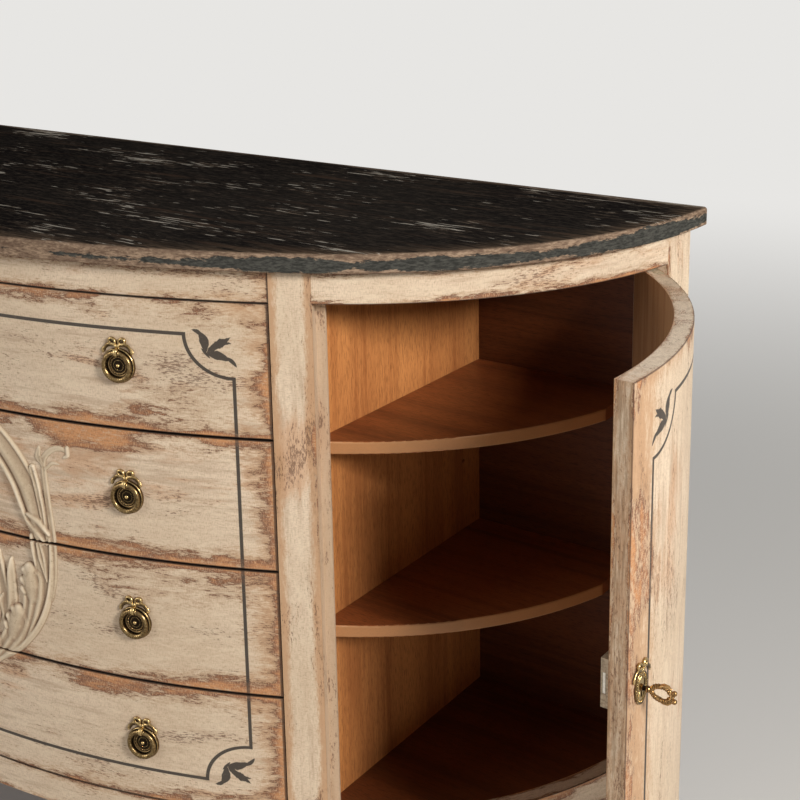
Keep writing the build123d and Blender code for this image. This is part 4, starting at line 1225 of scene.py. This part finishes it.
# Sections across a stroke, from its right edge, -1, to its left edge, 1, as shares of its height
bead = ((-1, 0), (-0.85, 0.55), (-0.5, 0.87), (0, 1), (0.5, 0.87), (0.85, 0.55), (1, 0))
spoon = ((-1, 0), (-0.88, 0.8), (-0.68, 1), (-0.25, 0.60), (0.3, 0.52), (0.7, 0.9), (0.88, 0.8), (1, 0))
fold = ((-1, 0), (-0.9, 0.45), (-0.3, 0.62), (0.25, 0.95), (0.5, 1), (0.78, 0.75), (1, 0))
fingers = ((-1, 0), (-0.88, 0.7), (-0.66, 0.85), (-0.4, 0.42), (0, 1), (0.34, 0.5), (0.62, 0.88),
           (0.85, 0.75), (1, 0))
dome = ((-1, 0), (-0.92, 0.5), (-0.7, 0.8), (-0.3, 0.97), (0, 1), (0.3, 0.95), (0.7, 0.72), (0.92, 0.45),
        (1, 0))
sweep = ((-1, 0.1), (-0.94, 0.7), (-0.82, 0.8), (-0.62, 0.36), (-0.3, 0.62), (0.1, 1), (0.34, 0.92),
         (0.6, 0.4), (0.8, 0.2), (1, 0.2))
print("laid out a block of", carving.shape[1], "by", carving.shape[0], "cells")

# %% [markdown]
# A stroke's line passes smoothly through its few points. Every cell near it asks which place on the line
# is nearest, how far off it lies in shares of the stroke's width, and on which side. The section gives
# the height there. Round its edge each stroke cuts a narrow moat into what lies beneath, as a gouge does.


# %% Carve a stroke
def stroke_line(points):
    """A smooth line through points, with a position every millimetre or so."""
    count = 8 + int(sum(hypot(b[0] - a[0], b[1] - a[1]) for a, b in zip(points, points[1:])))
    knots = [2 * np.array(points[0]) - np.array(points[1]), *map(np.array, points)]
    knots.append(2 * np.array(points[-1]) - np.array(points[-2]))
    found = []
    for step in np.linspace(0, len(points) - 1 - 1e-6, count):
        i, f = int(step), step - int(step)
        a, b, c, d = knots[i:i + 4]
        bend, twist = 2 * a - 5 * b + 4 * c - d, 3 * b - a - 3 * c + d
        found.append(0.5 * (2 * b + (c - a) * f + bend * f**2 + twist * f**3))
    return np.array(found)


def carve(points, widths, height, section=bead, lift=(1.0, 1.0), dots=0.0, cut=0.9):
    """One stroke of carving, in millimetres from the wreath's middle, with a cut round its edge."""
    line = stroke_line(points)
    wide = spread(widths, len(line))
    rise = spread(lift, len(line)) * height
    low, high = line.min(0) - max(widths) - 3, line.max(0) + max(widths) + 3
    near = (carve_x > low[0]) & (carve_x < high[0]) & (carve_y > low[1]) & (carve_y < high[1])
    x, y = carve_x[near], carve_y[near]
    apart = np.hypot(x[:, None] - line[:, 0], y[:, None] - line[:, 1]) / wide
    best = apart.argmin(1)
    off = apart[np.arange(len(best)), best]
    ahead = np.gradient(line, axis=0)[best]
    side = np.sign(ahead[:, 0] * (y - line[best, 1]) - ahead[:, 1] * (x - line[best, 0]))
    across = np.clip(off, 0, 1) * side
    shape = np.interp(across, *zip(*section))
    shape = np.minimum(shape, np.clip(1 - off**2, 0, None) ** 0.5 * 1.3)
    if dots:
        shape = shape + dots * np.sin(best * 1.1) * np.sin(across * 8) * shape
    under = carving[near]
    moat = np.clip(1 - (off - 1) * wide[best] / 1.6, 0, 1) * (off >= 1) * (under > 0)
    under = np.maximum(under - cut * moat, np.where(under > 0, 0.35, sunk_height))
    carving[near] = np.maximum(under, np.where(off < 1, rise[best] * shape, sunk_height))


def drill(place, size, depth):
    """A drilled eye, in millimetres from the wreath's middle."""
    apart = np.hypot(carve_x - place[0], carve_y - place[1]) / size
    carving[:] = np.where(carving > 0, np.maximum(carving - depth * np.exp(-apart**2), 0.2), carving)


# %% [markdown]
# The two long sweeps come first, as they carry the wreath's oval: a fluted band that rises to the top
# with a round bead along its inner edge, and below it two broad reeds that follow the outer edge. Then
# come the slender leaf and the curling tendril outside them, and the knot of folds where they cross.

# %% Sweeps and tendril
carve([(211, 22), (204, 62), (193, 92), (172, 124), (144, 152), (106, 176), (64, 190), (18, 197)],
      (15, 19, 20, 19, 17, 15, 12, 7), 5.0, sweep, lift=(1.0, 1.0, 1.0, 0.95, 0.85))
carve([(194, 40), (186, 61), (174, 90), (152, 121), (119, 148), (80, 168), (36, 180)],
      (3.4, 4.2, 4.4, 4.2, 3.8, 3.0), 5.6)
carve([(60, -190), (108, -166), (152, -134), (186, -96), (206, -52), (213, -8), (210, 26)],
      (10, 15, 17, 18, 17, 14, 8), 3.4, fold)
carve([(120, -172), (160, -146), (190, -116), (210, -84), (222, -48), (227, -8), (226, 30)],
      (3, 4, 4.5, 4.5, 4, 3.2, 1.5), 4.8, fold)
carve([(220, 30), (219, 55), (213, 92), (208, 112)], (2.5, 4.6, 5.0, 4.2), 5.4, spoon,
      lift=(0.8, 1.0, 1.0, 0.9))
carve([(223, -64), (229, -30), (231, 20), (227, 76), (225, 118), (229, 130), (240, 139), (251, 142),
       (260, 140)], (1.8, 3.6, 4.4, 4.4, 4.0, 4.0, 3.6, 3.0, 2.6), 2.3, spoon, dots=0.12,
      lift=(0.8, 1, 1, 0.9, 0.9))
carve([(262, 144), (262, 135), (256, 131)], (2.8, 3.0, 1.8), 2.2, dots=0.2)
carve([(224, 118), (218, 127), (220, 139)], (3.4, 5.0, 2.4), 2.1, spoon, dots=0.2)
carve([(228, 112), (238, 121), (249, 121)], (2.0, 2.4, 0.8), 1.5, dots=0.2)
carve([(197, 47), (211, 38), (226, 26)], (5, 9, 3), 6.2, fold)
carve([(196, 36), (207, 24), (222, 12)], (5, 7, 2), 5.6, fold)
carve([(199, 20), (200, 0), (203, -26)], (3.6, 4.0, 0.8), 5.2)
carve([(209, 14), (213, -8), (218, -40)], (3.5, 5.4, 0.8), 5.8, spoon)
print(f"{(carving > 0).mean():.0%} of the block is carved by the sweeps")

# %% [markdown]
# Along the inside of the oval stand four leaf roots: a smooth dome over fluted fingers, with leaves that
# curl inwards from it. They are one drawing, turned round the oval and a little smaller each time.


# %% Leaf roots
def on_band(degree, *steps):
    """Points of the wreath's oval band. Each step says how far it is turned on, and how far out it lies."""
    found = []
    for turned_by, out in steps:
        angle = radians(degree + turned_by)
        found.append(((140 + 91 * out) * cos(angle), (130 + 85 * out) * sin(angle)))
    return found


for degree, size in ((-11, 1.0), (-32, 1.0), (-52, 0.95), (-70, 0.85)):
    carve(on_band(degree, (-28, 0.52), (-15, 0.24), (-3, 0.06), (6, 0.04)),
          (6, 12 * size, 9 * size, 1.5), 4.4, spoon)
    carve(on_band(degree, (-28, 0.62), (-16, 0.42), (-4, 0.28), (4, 0.26)),
          (4, 8 * size, 7 * size, 2), 5.2, fold)
    carve(on_band(degree, (-1, 0.68), (-10, 0.72), (-20, 0.80), (-31, 0.93)),
          (15 * size, 17 * size, 14 * size, 9, 3), 5.6, fingers, lift=(0.9, 1.0, 0.95, 0.8, 0.6))
    carve(on_band(degree, (2, 0.60), (-4, 0.64), (-9, 0.72)), (11 * size, 14 * size, 9 * size), 7.1, dome,
          lift=(0.95, 1.0, 0.75))
    for turned_by, out in ((1.5, 0.50), (-3.5, 0.49), (-7.5, 0.53)):
        knuckle = on_band(degree, (turned_by, out), (turned_by - 1, out + 0.05))
        carve(knuckle, (4.6 * size, 3.6 * size), 6.4, dome)
    drill(*on_band(degree, (-1, 0.47)), 2.2 * size, 3.2)
    drill(*on_band(degree, (-6, 0.48)), 1.8 * size, 2.8)
print(f"{(carving > 0).mean():.0%} of the block is carved with the leaf roots")

# %% [markdown]
# A petal drawing serves both the shell at the top, where the sweeps meet, and the flower at the foot. Each
# petal springs from a root on the middle line, and the mirrored half closes the ring.


# %% Shell and flower
def petals(turns, root, middle, half_x, half_y, share):
    """Petals that spring from a root and end round an ellipse."""
    for degree in turns:
        x, y = half_x * cos(radians(degree)), middle + half_y * sin(radians(degree))
        carve([(0, root), (x * share, root + (y - root) * share), (x, y)], (4, 9.5, 6.5), 6.2, spoon)


petals((8, 34, 62, 90), 174, 176, 36, 38, 0.6)
carve([(0, 178), (0, 162), (0, 146)], (9, 8, 1), 6.4, fold)
petals((-66, -14, 38, 90), -186, -186, 24, 22, 0.7)
carve([(0, -186), (0.5, -186)], (7.5, 7.5), 7.2)
np.minimum(carving, 7.2, out=carving)
print(f"{(carving > 0).mean():.0%} of the block is carved in all")

# %% [markdown]
# Old carving has lost its crispness under paint, so the map is softened a little. A blurred copy less the
# map itself says how hollow each place is, and that is kept for the finish, which darkens the hollows with
# dirt and with painted shade.


# %% Soften the carving
def box_blur(field, reach):
    """The mean of a square about each cell."""
    total = np.pad(field, reach, mode="edge")
    for axis in (0, 1):
        total = sum(np.roll(total, step, axis) for step in range(-reach, reach + 1)) / (2 * reach + 1)
    return total[reach:-reach, reach:-reach]


carving = np.where(carving > -0.5, 0.3 * carving + 0.7 * box_blur(carving, 1), box_blur(carving, 1))
carved_depth = 0.6 * box_blur(carving, 4) + 0.5 * box_blur(carving, 10) - 1.1 * carving
print(f"carved {carving.max():.1f} mm deep")

# %% [markdown]
# The height map becomes a surface on each drawer: a grid as wide as the wreath, whose points move out from
# the drawer's face by the height beneath them. Points off the carving lie just below the face, so the
# outline of every leaf is where the surface comes through it. The gaps between the drawers cut the wreath.

# %% Carve a drawer
grid_columns = 424
grid_row = 0.0013
grid_half_wide = 0.276
gap_clearance = 0.0008
map_half_high = carve_high / 1000 - 0.002


def read_map(field, along, up):
    """Reads a map between its cells."""
    column = np.clip(np.abs(along) / carve_cell, 0, field.shape[1] - 1.001)
    row = np.clip((up + carve_high) / carve_cell, 0, field.shape[0] - 1.001)
    i, j = row.astype(int), column.astype(int)
    fi, fj = row - i, column - j
    upper = field[i + 1, j] * (1 - fj) + field[i + 1, j + 1] * fj
    return (field[i, j] * (1 - fj) + field[i, j + 1] * fj) * (1 - fi) + upper * fi


def carve_drawer(number, finish):
    """Makes one drawer's part of the wreath and counts its faces."""
    front_low, front_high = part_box(f"drawer_{number}_front")
    low = max(front_low.z + gap_clearance, wreath_middle - map_half_high)
    high = min(front_high.z - gap_clearance, wreath_middle + map_half_high)
    rows = max(int((high - low) / grid_row), 8)
    mesh = bmesh.new()
    bmesh.ops.create_grid(mesh, x_segments=grid_columns, y_segments=rows, size=1)
    places = np.array([vert.co[:2] for vert in mesh.verts])
    rim = np.abs(places[:, 1]) > 1 - 1 / rows
    level = np.clip(places[:, 1] / (1 - 2 / rows), -1, 1)
    along = places[:, 0] * grid_half_wide
    height = low + (high - low) * (level + 1) / 2
    map_place = (along * 1000, (height - wreath_middle) * 1000)
    out = np.where(rim, sunk_height, read_map(carving, *map_place))
    layer = mesh.verts.layers.float.new("hollow")
    for vert, s, z, rise, deep in zip(mesh.verts, along, height, out, read_map(carved_depth, *map_place)):
        vert.co = front_place(s, z, rise / 1000)
        vert[layer] = deep
    sunk = {vert for vert, rise in zip(mesh.verts, out) if rise < -0.55}
    hidden = [face for face in mesh.faces if all(vert in sunk for vert in face.verts)]
    bmesh.ops.delete(mesh, geom=hidden, context="FACES")
    bmesh.ops.recalc_face_normals(mesh, faces=mesh.faces)
    if sum(face.normal.y * face.calc_area() for face in mesh.faces) > 0:
        bmesh.ops.reverse_faces(mesh, faces=mesh.faces)
    for face in mesh.faces:
        face.smooth = True
    data = bpy.data.meshes.new(f"wreath_carving_{number}")
    mesh.to_mesh(data)
    mesh.free()
    data.materials.append(finish)
    piece = add_object(f"wreath_carving_{number}", data)
    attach(piece, f"drawer_{number}")
    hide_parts(f"carved_wreath_{number}")
    return len(data.polygons)


# %% [markdown]
# The carving wears the same cream paint, but its hollows are painted browner and darker: partly the dirt
# and brown ground that stay there, partly painted shade. Its high places are rubbed paler. How hollow each
# point is was kept on the mesh when the map was read. The plain solids beneath, which the carving replaces,
# are painted too, as every piece of joinery has a finish.

# %% Paint on the carving
carved_paint, r = new_finish("carved paint")
spot = r.value("TexCoord", output="Object")
mottle = r.cloud(spot, 60.0, 5.0, 0.65)
fine = r.cloud(spot, 420.0, 5.0, 0.7)
hollow = r.value("Attribute", output="Fac", attribute_name="hollow")
# Dirt and painted shade: the deeper a hollow, the browner and darker its paint.
dirt_and_shade = hollow + (mottle - 0.5) * 1.3 + (fine - 0.5) * 1.0
carved = r.coats(
    colour(222, 205, 180),
    (dirt_and_shade, -2.0, -0.3, 1.0, colour(202, 182, 154)),
    (dirt_and_shade, -0.6, 0.6, 0.85, colour(160, 134, 108)),
    (dirt_and_shade, 0.6, 1.9, 0.80, colour(108, 82, 62)),
    (r.cloud(spot, 260.0, 3.0, 0.6), 0.64, 0.70, 0.45, colour(126, 98, 72)),
)
roughness = r.between(r.step(dirt_and_shade, 0.0, 1.0), 0.5, 0.65)
dress(r, carved, roughness, fine + mottle, 0.35, 0.0006, specular=0.35)
wreath_paint = cream_paint("wreath paint", wear=-0.08)
wear_finish(wreath_paint, *(f"carved_wreath_{number}" for number in drawer_numbers))
faces = sum(carve_drawer(number, carved_paint) for number in drawer_numbers)
print("carved", faces, "faces over four drawers")

# %% [markdown]
# A pale surround stands behind the piece. Only what the camera or a reflection sees is that pale: the
# surround's light on the object is far weaker, so that the lamps alone shape the wood.

# %% Surround
surround = (0.80, 0.79, 0.77, 1.0)


def seen_directly(r):
    """1 for what the camera sees, straight or in a reflection, and 0 for light that falls on the object."""
    paths = r.node("LightPath").outputs
    return r.most(*(paths[f"Is {kind} Ray"] for kind in ("Camera", "Glossy", "Transmission")))


world = bpy.data.worlds.new("surround")
bpy.context.scene.world = world
world.use_nodes = True
r = Recipe(world.node_tree)
shown = world.node_tree.nodes["Background"]
shown.inputs["Color"].default_value = surround
lit = r.node("Background", {"Color": (1.0, 0.985, 0.96, 1.0), "Strength": 0.06})
joined = r.value("MixShader", {0: seen_directly(r), 1: lit.outputs[0], 2: shown.outputs[0]})
r.plug(world.node_tree.nodes["World Output"].inputs[0], joined)
print("hung the surround")

# %% [markdown]
# The floor is a wide pale disc. Its far part fades into the colour of the surround, so that no horizon
# shows.

# %% Floor
floor_radius = 14.0
disc = bmesh.new()
bmesh.ops.create_circle(disc, cap_ends=True, segments=96, radius=floor_radius)
floor_mesh = bpy.data.meshes.new("floor")
disc.to_mesh(floor_mesh)
disc.free()
floor = add_object("floor", floor_mesh)
floor_finish, r = new_finish("floor")
shader = floor_finish.node_tree.nodes["Principled BSDF"]
shader.inputs["Base Color"].default_value = (0.74, 0.73, 0.71, 1.0)
shader.inputs["Roughness"].default_value = 0.7
far = r.value("VectorMath", {0: r.value("TexCoord", output="Object")}, output="Value", operation="LENGTH")
fade = seen_directly(r) * r.step(far, 1.2, 4.6)
glow = r.value("Emission", {"Color": surround, "Strength": 1.0})
joined = r.value("MixShader", {0: fade, 1: shader.outputs[0], 2: glow})
r.plug(floor_finish.node_tree.nodes["Material Output"].inputs[0], joined)
floor_mesh.materials.append(floor_finish)
print("laid the floor")

# %% [markdown]
# Three soft lamps light the piece. The key lamp stands to the right, just behind the line of the open
# door, so that the door throws its shade over the lower shelves as in the photograph. A broad lamp in
# front fills the drawers, and one behind lifts the top off the background.

# %% Lamps
aim = Vector((0.1, 0.0, 0.5))
lamps = (
    ("key lamp", Vector((3.70, -1.03, 2.33)), 1.0, 155.0, (1.0, 0.975, 0.94)),
    ("front lamp", Vector((-2.06, -3.38, 1.9)), 2.4, 49.0, (1.0, 0.98, 0.96)),
    ("back lamp", Vector((-1.5, 3.6, 2.6)), 2.4, 30.0, (1.0, 0.99, 0.97)),
)
for name, place, size, power, tone in lamps:
    lamp = bpy.data.lights.new(name, "AREA")
    lamp.shape, lamp.size, lamp.energy, lamp.color = "DISK", size, power, tone
    facing = (place - aim).to_track_quat("Z", "Y").to_matrix().to_4x4()
    add_object(name, lamp).matrix_world = Matrix.Translation(place) @ facing
print("lit", len(lamps), "lamps")
